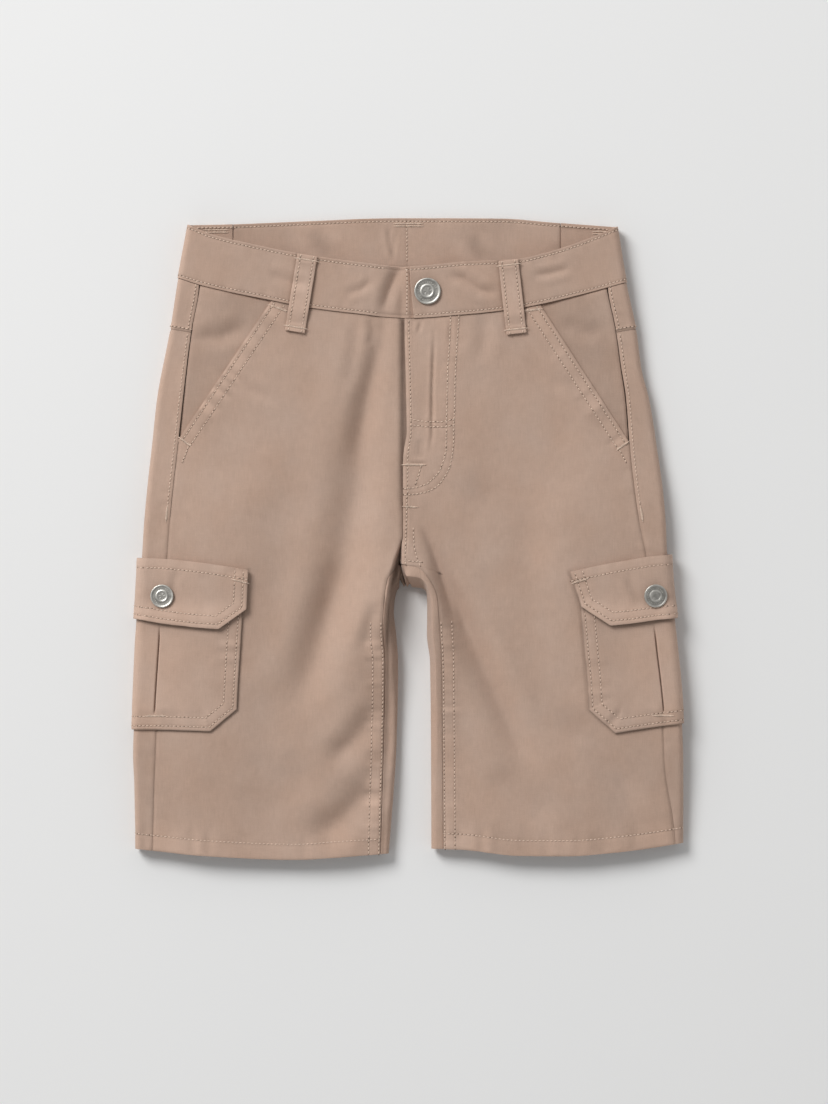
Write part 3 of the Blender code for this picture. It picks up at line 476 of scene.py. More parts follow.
def twill(name, tint=1.0):
    # Base colour = a warm and a cool beige mixed by a slow noise, times one plus mottling, slubs
    # along both yarns, flecks, the twill's ribs and the wear attribute: real wear on raised places,
    # painted shade on sunken places and where another piece lies on the cloth
    look = twillLook
    material, tree, shader = blank(name, look["warm"])
    cloth = node(tree, "ShaderNodeTexCoord").outputs["UV"]
    slow = noise(tree, cloth, (0.028, 0.022, 1), 3)
    mid = noise(tree, cloth, (0.21, 0.17, 1), 3)
    warpSlub = noise(tree, cloth, (2.1, 0.11, 1), 3, 0.6)
    weftSlub = noise(tree, cloth, (0.13, 2.3, 1), 3, 0.6)
    fleck = noise(tree, cloth, (2.4, 2.0, 1), 2, 0.7)
    ribs = bands(tree, cloth, look["ribs"], 1.4, "DIAGONAL", **{"Detail": 2.0, "Detail Scale": 1.6})
    yarns = bands(tree, cloth, look["yarn"], 0.8, "X", **{"Detail": 1.0, "Detail Scale": 2.0})
    # per point: real wear lighter on raised cloth, painted shade darker in sunken places and under other
    # pieces
    wornAndShaded = node(tree, "ShaderNodeAttribute", attribute_name="wearAndShade").outputs["Fac"]
    shade = calc(tree, "MULTIPLY_ADD", slow, look["mottle"], 1.0)
    shade = calc(tree, "MULTIPLY_ADD", mid, look["mottle"] * 0.8, shade)
    shade = calc(tree, "MULTIPLY_ADD", warpSlub, look["slub"], shade)
    shade = calc(tree, "MULTIPLY_ADD", weftSlub, look["slub"] * 0.6, shade)
    shade = calc(tree, "MULTIPLY_ADD", fleck, look["fleck"], shade)
    shade = calc(tree, "MULTIPLY_ADD", calc(tree, "SUBTRACT", ribs, 0.5), look["ribShade"], shade)
    shade = calc(tree, "MULTIPLY_ADD", wornAndShaded, look["wearAndShadeStrength"], shade)
    shade = calc(tree, "MULTIPLY", shade, tint)
    mixed = node(tree, "ShaderNodeMix", {0: calc(tree, "MULTIPLY_ADD", slow, 2.2, 0.5),
                                         6: (*look["warm"], 1), 7: (*look["cool"], 1)},
                 data_type="RGBA").outputs[2]
    paint(tree, shader, mixed, shade)
    # Height = the ribs, the yarns, the flecks and the slow mottling together
    height = calc(tree, "MULTIPLY_ADD", ribs, 0.9, calc(tree, "MULTIPLY", yarns, 0.35))
    height = calc(tree, "MULTIPLY_ADD", fleck, 1.4, height)
    height = calc(tree, "MULTIPLY_ADD", mid, 3.0, height)
    emboss(tree, shader, height, look["bumpStrength"], look["bump"])
    tree.links.new(calc(tree, "MULTIPLY_ADD", fleck, 0.2, 0.86), shader.inputs["Roughness"])
    shader.inputs["Sheen Weight"].default_value = look["sheen"]
    shader.inputs["Sheen Roughness"].default_value = look["sheenRoughness"]
    shader.inputs["Sheen Tint"].default_value = look["sheenTint"]
    shader.inputs["Specular IOR Level"].default_value = look["shine"]
    return material


# hole and its colour: the dark disc painted as the shade of each needle hole
threadLook = {"pitch": 2.55, "length": 2.0, "width": 0.68, "rise": 0.32, "hole": 0.46,
              "colour": (0.680, 0.520, 0.410), "holeShadeColour": (0.150, 0.098, 0.070)}


def threadMaterial():
    # cotton thread: two plies show as slanting lines on the stitch's own map
    material, tree, shader = blank("sewingThread", threadLook["colour"])
    along = node(tree, "ShaderNodeTexCoord").outputs["UV"]
    ply = bands(tree, along, 0.9, 0.3, "DIAGONAL")
    here = node(tree, "ShaderNodeTexCoord").outputs["Object"]
    vary = noise(tree, here, (260, 260, 260), 2)
    shade = calc(tree, "MULTIPLY_ADD", ply, 0.18, calc(tree, "MULTIPLY_ADD", vary, 0.5, 0.92))
    paint(tree, shader, threadLook["colour"], shade)
    emboss(tree, shader, ply, 0.5, 0.00008)
    shader.inputs["Roughness"].default_value = 0.62
    shader.inputs["Sheen Weight"].default_value = 0.15
    return material


def holeShadeMaterial():
    # painted shade: a dark disc for the shaded hole that a needle leaves at each end of a stitch
    material, tree, shader = blank("needleHoleShade", (0.12, 0.08, 0.055))
    here = node(tree, "ShaderNodeTexCoord").outputs["Object"]
    vary = noise(tree, here, (420, 420, 420), 2)
    shade = calc(tree, "MULTIPLY_ADD", vary, 1.1, 1.0)
    paint(tree, shader, threadLook["holeShadeColour"], shade)
    shader.inputs["Roughness"].default_value = 0.95
    return material


nickelLook = {"plain": (0.55, 0.53, 0.49), "dark": (0.27, 0.25, 0.22, 1), "bright": (0.74, 0.72, 0.67, 1)}


def nickelMaterial():
    # brushed antique nickel, darker where its wear attribute is low, which on the buttons holds only wear and
    # patina
    material, tree, shader = blank("antiqueNickel", nickelLook["plain"])
    here = node(tree, "ShaderNodeTexCoord").outputs["Object"]
    wornAndShaded = node(tree, "ShaderNodeAttribute", attribute_name="wearAndShade").outputs["Fac"]
    grain = noise(tree, here, (900, 2600, 900), 3)
    spots = noise(tree, here, (340, 340, 340), 3)
    share = calc(tree, "MULTIPLY_ADD", spots, 0.5, wornAndShaded)
    mixed = node(tree, "ShaderNodeMix", {0: share, 6: nickelLook["dark"], 7: nickelLook["bright"]},
                 data_type="RGBA").outputs[2]
    tree.links.new(mixed, shader.inputs["Base Color"])
    shader.inputs["Metallic"].default_value = 1.0
    tree.links.new(calc(tree, "MULTIPLY_ADD", spots, 0.3, calc(tree, "MULTIPLY_ADD", grain, 0.25, 0.44)),
                   shader.inputs["Roughness"])
    emboss(tree, shader, grain, 0.25, 0.00004)
    return material


clothMaterials = {"twill": twill("beigeTwill"), "waistband": twill("beigeTwillBand", 0.99),
                  "pockets": twill("beigeTwillPocket", 1.0)}
thread, needleHoleShade, nickel = threadMaterial(), holeShadeMaterial(), nickelMaterial()
print("materials made")

garment = bpy.data.collections.new("cargoShorts")
bpy.context.scene.collection.children.link(garment)
cuts = {}     # the flat cut of each cloth piece
sewn = {}     # the stitches that lie on each cloth piece


def gridFaces(rows, columns):
    # four corners for each cell of a grid of points
    first = (np.arange(rows - 1)[:, None] * columns + np.arange(columns - 1)).reshape(-1)
    return np.stack([first, first + 1, first + columns + 1, first + columns], 1)


def meshOf(name, points, faces, cloth, materials, wearAndShade=None, kinds=None):
    # points in millimetres, faces all of one size, and each point's place on the flat cloth
    mesh = bpy.data.meshes.new(name)
    mesh.from_pydata(((points - (middleX, 0, 0)) * mm).tolist(), [], faces.tolist())
    flat = mesh.uv_layers.new(name="cloth").uv
    flat.foreach_set("vector", cloth[faces.reshape(-1)].astype(np.float32).ravel())
    if wearAndShade is not None:
        wornAndShaded = mesh.attributes.new("wearAndShade", "FLOAT", "POINT").data
        wornAndShaded.foreach_set("value", wearAndShade.astype(np.float32).ravel())
    for material in materials:
        mesh.materials.append(material)
    if kinds is not None:
        mesh.polygons.foreach_set("material_index", kinds.astype(np.int32))
    mesh.shade_smooth()
    mesh.update()
    made = bpy.data.objects.new(name, mesh)
    garment.objects.link(made)
    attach(made, "root")
    return made


def shell(name, points, cloth, wearAndShade, wall, slot, cadNode, flip=False, rim=0.38):
    # a wall of cloth about a grid of points on its middle, with a rounded rim, and its flat cut:
    # the area is the sum of the cells' own, each half the cross product of its diagonals
    rows, columns = points.shape[:2]
    faces = gridFaces(rows, columns)
    if flip:
        faces = faces[:, ::-1]
    made = meshOf(name, points.reshape(-1, 3), faces, cloth.reshape(-1, 2), [clothMaterials[slot]],
                  np.clip(wearAndShade, -2.5, 1))
    wallModifier = made.modifiers.new("wall", "SOLIDIFY")
    wallModifier.thickness = wall * mm
    wallModifier.offset = 0
    rimModifier = made.modifiers.new("rim", "BEVEL")
    rimModifier.width = rim * wall * mm
    rimModifier.segments = 2
    rimModifier.limit_method = "ANGLE"
    rimModifier.angle_limit = math.radians(62)
    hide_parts(cadNode)
    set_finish(made, slot)
    quads = cloth.reshape(-1, 2)[faces]
    across, down = quads[:, 2] - quads[:, 0], quads[:, 3] - quads[:, 1]
    area = float(np.abs(across[:, 0] * down[:, 1] - across[:, 1] * down[:, 0]).sum() / 2)
    size = np.ptp(cloth.reshape(-1, 2), axis=0)
    cuts[name] = (made, float(size[0]) * mm, float(size[1]) * mm, area * mm * mm)
    sewn[name] = []
    print(f"{name}: {rows} x {columns}, cut {size[0]:.0f} x {size[1]:.0f} mm, {area / 100:.0f} cm2")
    return made


def sew(piece, place, turn, wall, path, pitch=None, length=None, width=None, holes=True, cross=0.0):
    # a row of stitches: the path cut into equal steps, each stitch along the path or turned across it
    pitch, length = pitch or threadLook["pitch"], length or threadLook["length"]
    steps = dense(path, 0.5)
    walked = np.concatenate([[0], np.cumsum(np.hypot(*np.diff(steps, axis=0).T))])
    count = max(2, int(round(walked[-1] / pitch)) + 1)
    at = np.linspace(0, walked[-1], count)
    u, v = np.interp(at, walked, steps[:, 0]), np.interp(at, walked, steps[:, 1])
    aheadU, aheadV = np.interp(at + 0.3, walked, steps[:, 0]), np.interp(at + 0.3, walked, steps[:, 1])
    behindU, behindV = np.interp(at - 0.3, walked, steps[:, 0]), np.interp(at - 0.3, walked, steps[:, 1])
    normal = outward(place, u, v, turn)
    centre = place(u, v) + normal * wall / 2
    run = place(aheadU, aheadV) - place(behindU, behindV)
    run -= normal * (run * normal).sum(-1, keepdims=True)
    run /= np.linalg.norm(run, axis=-1, keepdims=True)
    side = np.cross(normal, run)
    lean = np.radians(cross + 4.0 * wander(np.arange(count) * 1.0, 1.0, len(sewn[piece]) + 11))[:, None]
    run, side = run * np.cos(lean) + side * np.sin(lean), side * np.cos(lean) - run * np.sin(lean)
    size = np.full(count, length), np.full(count, width or threadLook["width"]), np.full(count, float(holes))
    sewn[piece].append((centre, run, side, normal, *size))


def bartack(piece, place, turn, wall, start, end, width=2.1, pitch=0.55):
    # dense stitches across a short line, and long ones along it
    line = (start, end)
    sew(piece, place, turn, wall, line, pitch=pitch, length=width, width=0.5, holes=False, cross=90.0)
    sew(piece, place, turn, wall, line, pitch=6.0, length=5.8, width=0.6, holes=False)


def stitchShape():
    # a stitch lying along its first axis, tapered to a point at each end: 3 rings of 6 and 2 poles
    along = np.array([-0.62, 0.0, 0.62])
    fat = np.array([0.80, 1.0, 0.80])
    angle = np.arange(6) * np.pi / 3
    rings = np.stack([np.broadcast_to(along[:, None], (3, 6)), fat[:, None] * np.cos(angle),
                      fat[:, None] * np.sin(angle)], -1).reshape(-1, 3)
    points = np.concatenate([[[-1, 0, 0]], rings, [[1, 0, 0]]])
    k, after = np.arange(6), (np.arange(6) + 1) % 6
    faces = [np.stack([np.zeros(6, int), 1 + after, 1 + k], 1)]
    for ring in (0, 1):
        a, b = 1 + ring * 6, 7 + ring * 6
        faces += [np.stack([a + k, a + after, b + after], 1), np.stack([a + k, b + after, b + k], 1)]
    faces.append(np.stack([13 + k, 13 + after, np.full(6, 19)], 1))
    return points, np.concatenate(faces)


def stitchMesh(piece, name):
    # every stitch of one cloth piece in one mesh: the stitch's shape scaled, bowed up in the middle
    # and set on the cloth, and past its end a small dark disc, the painted shade of the needle hole
    parts = [np.concatenate(column) for column in zip(*sewn[piece])]
    centre, run, side, normal, length, width, holed = parts
    shape, faces = stitchShape()
    bow = threadLook["rise"] * (1 - shape[:, 0] ** 2) - 0.16 * shape[:, 0] ** 4
    points = (centre[:, None]
              + run[:, None] * (shape[:, 0] * 0.5)[None, :, None] * length[:, None, None]
              + side[:, None] * (shape[:, 1] * 0.5)[None, :, None] * width[:, None, None]
              + normal[:, None] * (shape[None, :, 2] * 0.42 * width[:, None] + bow[None])[..., None])
    count, size = len(centre), len(shape)
    allFaces = (faces[None] + (np.arange(count) * size)[:, None, None]).reshape(-1, 3)
    cloth = np.stack([shape[:, 0], np.arctan2(shape[:, 2], shape[:, 1]) * 0.3], -1)
    cloth = np.tile(cloth, (count, 1))
    # the needle holes' painted shade: a shallow dark hexagon dome
    keep = holed > 0.5
    angle = np.arange(6) * np.pi / 3
    ring = np.concatenate([[[0, 0]], np.stack([np.cos(angle), np.sin(angle)], 1)])
    up = np.array([0.09] + [0.02] * 6)
    middle = centre[keep] + run[keep] * (threadLook["pitch"] / 2)
    holePoints = (middle[:, None] + run[keep][:, None] * ring[None, :, :1] * threadLook["hole"] * 0.8
                  + side[keep][:, None] * ring[None, :, 1:] * threadLook["hole"]
                  + normal[keep][:, None] * up[None, :, None])
    k, after = np.arange(6), (np.arange(6) + 1) % 6
    fan = np.stack([np.zeros(6, int), 1 + k, 1 + after], 1)
    holes = int(keep.sum())
    holeFaces = (fan[None] + (np.arange(holes) * 7)[:, None, None]).reshape(-1, 3) + count * size
    allPoints = np.concatenate([points.reshape(-1, 3), holePoints.reshape(-1, 3)])
    cloth = np.concatenate([cloth, np.zeros((holes * 7, 2))])
    kinds = np.concatenate([np.zeros(len(allFaces)), np.ones(len(holeFaces))])
    made = meshOf(name, allPoints, np.concatenate([allFaces, holeFaces]), cloth, [thread, needleHoleShade],
                  kinds=kinds)
    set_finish(made, cuts[piece][0]["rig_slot"])
    print(f"{name}: {count} stitches")
    return made


def slantX(side, y):
    # where the pocket opening's straight slant lies at a height
    (x0, y0), (x1, y1) = slants[side]
    return x0 + (y - y0) * (x1 - x0) / (y1 - y0)


def within(path, keep):
    # the points of a path that a test keeps
    return path[keep(path[:, 0], path[:, 1])]


def stitchedWay(x, y, path, pinch, pucker, spacing, reach, seed):
    # a row of stitches away from any edge: pinched along it, puckered beside it
    away, walked, total = nearPath(x, y, path)
    ends = smooth(np.minimum(walked, total - walked) / 3)
    ladder = wander(walked, spacing, seed) * bell(away, reach)
    return ends * (pucker * ladder - pinch * bell(away, 0.8))


fly = {
    # rows of stitches on the fly: the two J rows, the guard's two at the top and its tail
    "rows": (
        ((33.2, 143.8), (32.0, 128), (30.9, 110), (30.3, 84), (29.7, 71), (29.7, 61), (28.9, 54.8),
         (27.4, 46.5), (24.7, 41.1), (20.8, 35.3), (16.7, 32), (11.7, 29.9), (6.3, 28.7), (-1.5, 28.2)),
        ((27.8, 143.4), (27.3, 128), (25.9, 110), (25.4, 84), (24.9, 65), (24.9, 57), (22.7, 48.6),
         (20, 42.4), (16.7, 39), (13.3, 35.8), (9.6, 34.1), (4.2, 32.6), (-1.5, 32.2)),
        ((2.0, 77.2), (10, 75.6), (22, 75.4), (29.6, 77)),
        ((2.0, 73.4), (12, 72.3), (24, 72), (29.6, 73.4)),
        ((8.4, 46.3), (7.4, 42), (5.4, 36))),
    # below it: two rows down the centre seam, and one across at the crotch
    "centreRows": (((-0.6, 27), (-1.2, 4), (-1.6, -9), (-1.4, -16)),
                   ((3.6, 6), (4.0, -4), (5.6, -12), (7.8, -17)),
                   ((-3.9, -14.2), (1.5, -14.8), (8.2, -15.4))),
    "tacks": (((-1.6, 47.6), (9.6, 47.4)), ((-1.4, 20.5), (4.8, 20.2))),
    "edge": ((28, 31, 36, 46, 61, 84, 144), (0, 13, 21, 27.5, 30, 31, 33.8)),   # y, and x there
    "swell": 0.12, "step": 1.4, "foot": -16.0,
}
fronts = {
    "rowsUp": 74, "rowsDown": 208, "columns": 112,
    "edgeFade": 0.2,        # the share of each row that follows the inner edge's own height
    "slantOver": 0.1,       # the slant's seam runs on under the band by this share of its length
    "rimPress": 0.55,       # the wearer's right front is pressed flat along the centre seam
}
# Painted shade: how much darker the cloth is painted where a piece lies against it, and across how wide a
# band; how much darker for each millimetre the crotch roll sinks; and the height in millimetres of raised or
# sunken cloth for one step of wear and shade
paintedShade = {"flap": 1.7, "pocket": 1.5, "loop": 1.2, "waist": 1.3, "fly": 0.9, "flyReach": 1.2, "roll": 0.28,
          "relief": 0.5, "rim": 0.55}


def frontPlan(side):
    # rows from the waist down to the slant's foot, each from the fly to the slant; then rows from
    # there to the hem, each from the centre or inner edge to the side seam
    across = crowded(fronts["columns"])[None]
    edge = frontEdges[side]
    share = np.linspace(1, 0, fronts["rowsUp"], endpoint=False)[:, None]
    waistHere = float(read(frontWaist, "y", -2.0)) - body["seamGap"]
    start = read(edge, "x", slantEndRow + share * (waistHere - slantEndRow))
    x = start + 0 * across
    for _ in range(8):
        y = slantEndRow + share * (read(frontWaist, "y", x) - body["seamGap"] - slantEndRow)
        x = start + (slantX(side, y) - start) * across
    row = (slantEndRow + (hemRow - slantEndRow) * np.linspace(0, 1, fronts["rowsDown"]))[:, None]
    startX, startY = read(edge, "x", row), read(edge, "y", row)
    lowX = startX + (read(sides[side], "seam", row) - startX) * across
    lowY = row + (startY - row) * (1 - smooth(across / fronts["edgeFade"]))
    return np.concatenate([x, lowX]), np.concatenate([y, hemShift(lowY, lowX)])


def edgePath(side, fromRow, toRow, count=40):
    # the front's inner edge between two rows, as a path
    row = np.linspace(fromRow, toRow, count)
    x, y = read(frontEdges[side], "x", row), read(frontEdges[side], "y", row)
    return np.stack([x, hemShift(y, x)], 1)


def frontPlace(side):
    # the top layer and its sewn edges: plain at the waist and side seam, rows at the slant, the
    # inseam and the hem, and on the wearer's left the fly's rows and swell
    inseam, centre = edgePath(side, -21, hemRow), edgePath(side, 62, -21)
    slant = np.array(slants[side])
    slant = np.concatenate([slant[:1] + (slant[:1] - slant[1:]) * fronts["slantOver"], slant])
    seamY = np.linspace(slantEndRow, -207, 30)
    seamPath = np.stack([read(sides[side], "seam", seamY), seamY], 1)

    def place(x, y):
        x, y = asGrid(x, y)
        z = topZ(x, y)
        below = read(frontWaist, "y", x) - y - body["seamGap"]
        z = z + seamed(below, x, seamLooks["plain"], 21 + side)
        away, walked, _ = nearPath(x, y, slant)
        z = z + seamed(away, walked, seamLooks["open"], 31 + side) * smooth((y - 56) / 7)
        away, walked, _ = nearPath(x, y, seamPath)
        z = z + seamed(away, walked, seamLooks["plain"], 41 + side)
        away, walked, _ = nearPath(x, y, inseam)
        z = z + seamed(away, walked, seamLooks["felled"], 51 + side) * smooth((-48 - y) / 16)
        z = z - 0.5 * (1 - smooth(away / 2.2)) * smooth((-16 - y) / 6) * (1 - smooth((-48 - y) / 16))
        z = z + seamed(y - read(hem, "y", x), x, seamLooks["hem"], 61 + side) * smooth((hemStartRow - y) / 20)
        away = nearPath(x, y, centre)[0]
        if side == right:
            z = z - fly["step"] * smooth((x + 7) / 4.5) * smooth((y - 6) / 24)
            z = z - 0.35 * bell(x + 2.0, 1.8) * smooth((y - 16) / 6)
            z = z - fronts["rimPress"] * (1 - smooth(away / 3.0)) * smooth((20 - y) / 12)
        else:
            inside = smooth((np.interp(y, *fly["edge"]) - x) / 2.2)
            upper = smooth((y - 27) / 3)
            z = z + fly["swell"] * inside * upper
            flyAway = x - read(frontEdges[left], "x", np.maximum(y, fly["foot"]))
            z = z + seamed(np.maximum(flyAway, 0), y, seamLooks["fly"], 71) * smooth((y + 18) / 4)
            z = z - creased(x, y, flyCreases) * smooth((y - 40) / 6)
            for k, path in enumerate(fly["rows"]):
                z = z + stitchedWay(x, y, path, 0.2, 0.16, 3.2, 2.6, 80 + k)
            for k, path in enumerate(fly["centreRows"]):
                z = z + stitchedWay(x, y, path, 0.2, 0.14, 2.8, 2.2, 90 + k)
        return np.stack([x, y, z], -1)
    return place


def paintedContactShade(x, y, path, distance=0.0, reach=1.3):
    # painted shade: darker cloth in a narrow band at a distance from a path, where another piece lies against
    # it and shades it
    return bell(nearPath(x, y, path)[0] - distance, reach)


def underLoop(side):
    # the middle line of a front belt loop, short of its foot by half its width
    top, foot = np.array(loops["front"][side])
    return top, foot + (top - foot) * 0.13


def makeFront(side):
    word = sideNames[side]
    name = f"cloth_front_{word}"
    place = frontPlace(side)
    x, y = frontPlan(side)
    points = place(x, y)
    # wear lighter on raised seams and painted shade in sunken rows; then painted shadow where the flap,
    # pocket, belt loop, waistband and fly lie on the cloth, and painted shade down the crotch roll
    wearAndShade = (points[..., 2] - topZ(x, y)) / paintedShade["relief"]
    s = sideDistance(side, x, y)
    wearAndShade = wearAndShade - paintedShade["flap"] * paintedContactShade(s, y, outline(flaps[side]))
    wearAndShade = wearAndShade - paintedShade["pocket"] * paintedContactShade(s, y, outline(pockets[side]))
    wearAndShade = wearAndShade - paintedShade["loop"] * paintedContactShade(x, y, underLoop(side), loops["width"] / 2)
    wearAndShade = wearAndShade - bell(read(frontWaist, "y", x) - y, paintedShade["waist"])
    wearAndShade = wearAndShade - paintedShade["roll"] * crotchDip(x, y)
    if side == right:
        underFly = x - read(frontEdges[left], "x", np.maximum(y, fly["foot"]))
        wearAndShade = wearAndShade - paintedShade["fly"] * bell(underFly, paintedShade["flyReach"])
    shell(name, points, np.stack([x, y], -1), wearAndShade, body["cloth"], "twill", f"front_panel_{word}",
          side == left)
    wall = body["cloth"]

    def row(path, **how):
        sew(name, place, 1, wall, path, **how)

    # the slant's two rows, the tail of its seam below it, and a bartack at each end
    (x0, y0), (x1, y1) = slants[side]
    over = fronts["slantOver"]
    slant = np.array([(x0 - (x1 - x0) * over, y0 - (y1 - y0) * over), (x1, y1)])
    for distance in seamLooks["open"]["rows"]:
        path = dense(beside(slant, -side * distance), 1.0)
        row(within(path, lambda u, v: (v < read(frontWaist, "y", u) - 1.5)
                   & (side * (read(sides[side], "seam", v) - u) > 1.2)))
    row(((x1 - side * 5.5, y1 - 6.5), (x1 - side * 2.2, 50.0)))
    bartack(name, place, 1, wall, (x1 - side * 6.4, y1 - 4.6), (x1 - side * 0.9, y1 - 0.6))
    bartack(name, place, 1, wall, (x0 - side * 10.2, 147.2), (x0 - side * 0.8, y0 - 2.2))
    # the inseam's two rows, the hem's one, and on the wearer's left all that the fly carries
    inseam = edgePath(side, -58, hemRow + 1)
    for distance in seamLooks["felled"]["rows"]:
        row(within(dense(beside(inseam, side * distance), 1.0), lambda u, v: v > read(hem, "y", u) + 0.8))
    xs = np.linspace(float(edgePath(side, hemRow, hemRow, 1)[0, 0]) + side * 0.8,
                     float(read(sides[side], "seam", -200)) - side * 0.8, 60)
    row(np.stack([xs, read(hem, "y", xs) + seamLooks["hem"]["rows"][0]], 1))
    if side == left:
        ys = np.linspace(140.6, 30, 40)
        row(np.stack([read(frontEdges[left], "x", ys) + seamLooks["fly"]["rows"][0], ys], 1))
        for path in (*fly["rows"], *fly["centreRows"]):
            row(path)
        for tack in fly["tacks"]:
            bartack(name, place, 1, wall, *tack, width=1.9)


facing = {"rows": 84, "columns": 44, "foot": 58.0, "under": 9.0, "drop": 1.4, "dropWidth": 46.0,
          "darkest": -0.6}


def makeFacing(side):
    # between the slant opening and the side seam, running on a little under the front: the top
    # layer's height less a drop that eases off towards the side seam
    word = sideNames[side]
    foot, gap = facing["foot"], body["seamGap"]
    share = np.linspace(1, 0, facing["rows"])[:, None]
    across = np.linspace(0, 1, facing["columns"])[None]
    x = slantX(side, 120.0) + 0 * share * across
    for _ in range(8):
        y = foot + share * (read(frontWaist, "y", x) - gap - foot)
        under = slantX(side, y) - side * facing["under"]
        seam = read(sides[side], "seam", y) - side * gap
        x = under + (seam - under) * across

    def place(u, v):
        u, v = asGrid(u, v)
        past = side * (u - slantX(side, v))
        z = topZ(u, v) - facing["drop"] * (1 - smooth((past + 4) / facing["dropWidth"]))
        edge = side * (read(sides[side], "seam", v) - u) - gap
        z = z + seamed(np.maximum(edge, 0), v, seamLooks["plain"], 101 + side)
        below = read(frontWaist, "y", u) - v - gap
        z = z + seamed(below, u, seamLooks["plain"], 103 + side) * smooth(past / 4)
        return np.stack([u, v, z], -1)
    points = place(x, y)
    # painted shade where the facing drops under the slant, no darker than facing darkest, and wear on raised
    # seams
    wearAndShade = (points[..., 2] - topZ(x, y)) / paintedShade["relief"]
    shell(f"cloth_hip_facing_{word}", points, np.stack([x, y], -1), np.clip(wearAndShade, facing["darkest"], 1),
          body["cloth"], "twill", f"hip_facing_{word}", side == left)


backs = {
    "wrapEnd": -22.0,       # how far the wrap round the side fold reaches under, by the cloth
    "stitchEnd": -8.0,      # and its stitches, which are hidden past there
    "join": 20.0,           # where the flat floor layer meets the inner fold's turn
    "yokeRows": 30, "yokeColumns": 40, "centreGap": 0.2,
    "upRows": 62, "downRows": 176, "wrapColumns": 34, "floorColumns": 26, "turnColumns": 9,
    "edgeShares": (0.0, 0.1, 0.4, 1.0), "edgeDrop": 0.35,      # the inseam's edge is pressed down
}


def seamS(side, y):
    # the side seam's distance from the side fold, on the back's own edge
    return sideDistance(side, read(sides[side], "seam", y) + side * body["seamGap"], y)


def sideSeamRow(side, fromY, toY, count):
    # the row of stitches beside the side seam, on the wrap
    y = np.linspace(fromY, toY, count)
    return np.stack([seamS(side, y) - seamLooks["single"]["rows"][0], y], 1)


def wrapPlace(side):
    # the back panel's and the yoke's wrap, with the side seam's stitched edge on it
    base = lambda s, y: sideSurface(side, s, y)

    def relief(s, y):
        away = np.maximum(seamS(side, y) - s, 0)
        sewnPart = smooth((y - 11) / 4)
        edge = (sewnPart * seamed(away, y, seamLooks["single"], 111 + side)
                + (1 - sewnPart) * seamed(away, y, seamLooks["plain"], 113 + side))
        up = smooth((s + 30) / 30)
        hemX = base(s, y)[..., 0]
        hemEdge = seamed(y - read(hem, "y", hemX), hemX, seamLooks["hem"], 61 + side)
        overSeam = y - read(yokeSeam, "y", s)
        swell = 0.22 * smooth((overSeam - 0.5) / 1.0) * (1 - smooth((overSeam - 2.4) / 1.6))
        return up * (edge + hemEdge * smooth((hemStartRow - y) / 20) + swell - 0.4 * bell(overSeam, 1.5))
    return base, moved(base, -side, relief)


def makeYoke(side):
    # from the side seam round the fold to the centre of the back, between the yoke seam and the waist
    word = sideNames[side]
    name = f"cloth_yoke_{word}"
    base, place = wrapPlace(side)
    end, gap = backs["wrapEnd"], backs["centreGap"]
    share = np.linspace(1, 0, backs["yokeRows"])[:, None]
    top = seamS(side, 135 + share * 33)
    centre = -(abs(float(foldX(side, 150))) - gap - body["foldRadius"] + foldCloth)
    half = np.linspace(0, 1, backs["yokeColumns"])
    t = np.concatenate([half, 1 + half[1:]])[None]
    s = np.where(t <= 1, top + (end - top) * t, end + (centre - end) * (t - 1))
    y = 150.0 + 0 * s
    for _ in range(8):
        x = base(s, y)[..., 0]
        waist = np.where(s > 0, read(frontWaist, "y", x), read(backWaist, "y", x)) - body["seamGap"]
        y = read(yokeSeam, "y", s) + share * (waist - read(yokeSeam, "y", s))
    points = place(s, y)
    plain = base(s, y)
    # wear on raised cloth and painted shade in sunken seams
    wearAndShade = ((points - plain) * outward(base, s, y, -side)).sum(-1) / paintedShade["relief"]
    points[:, -1, 0] = side * gap
    shell(name, points, np.stack([s, y], -1), wearAndShade, body["cloth"], "twill", f"back_yoke_{word}", side == left)
    sew(name, place, -side, body["cloth"], sideSeamRow(side, 136.5, 166, 20))
    ss = np.linspace(float(seamS(side, 134)) - 0.6, backs["stitchEnd"], 30)
    sew(name, place, -side, body["cloth"], np.stack([ss, read(yokeSeam, "y", ss) + 2.0], 1))


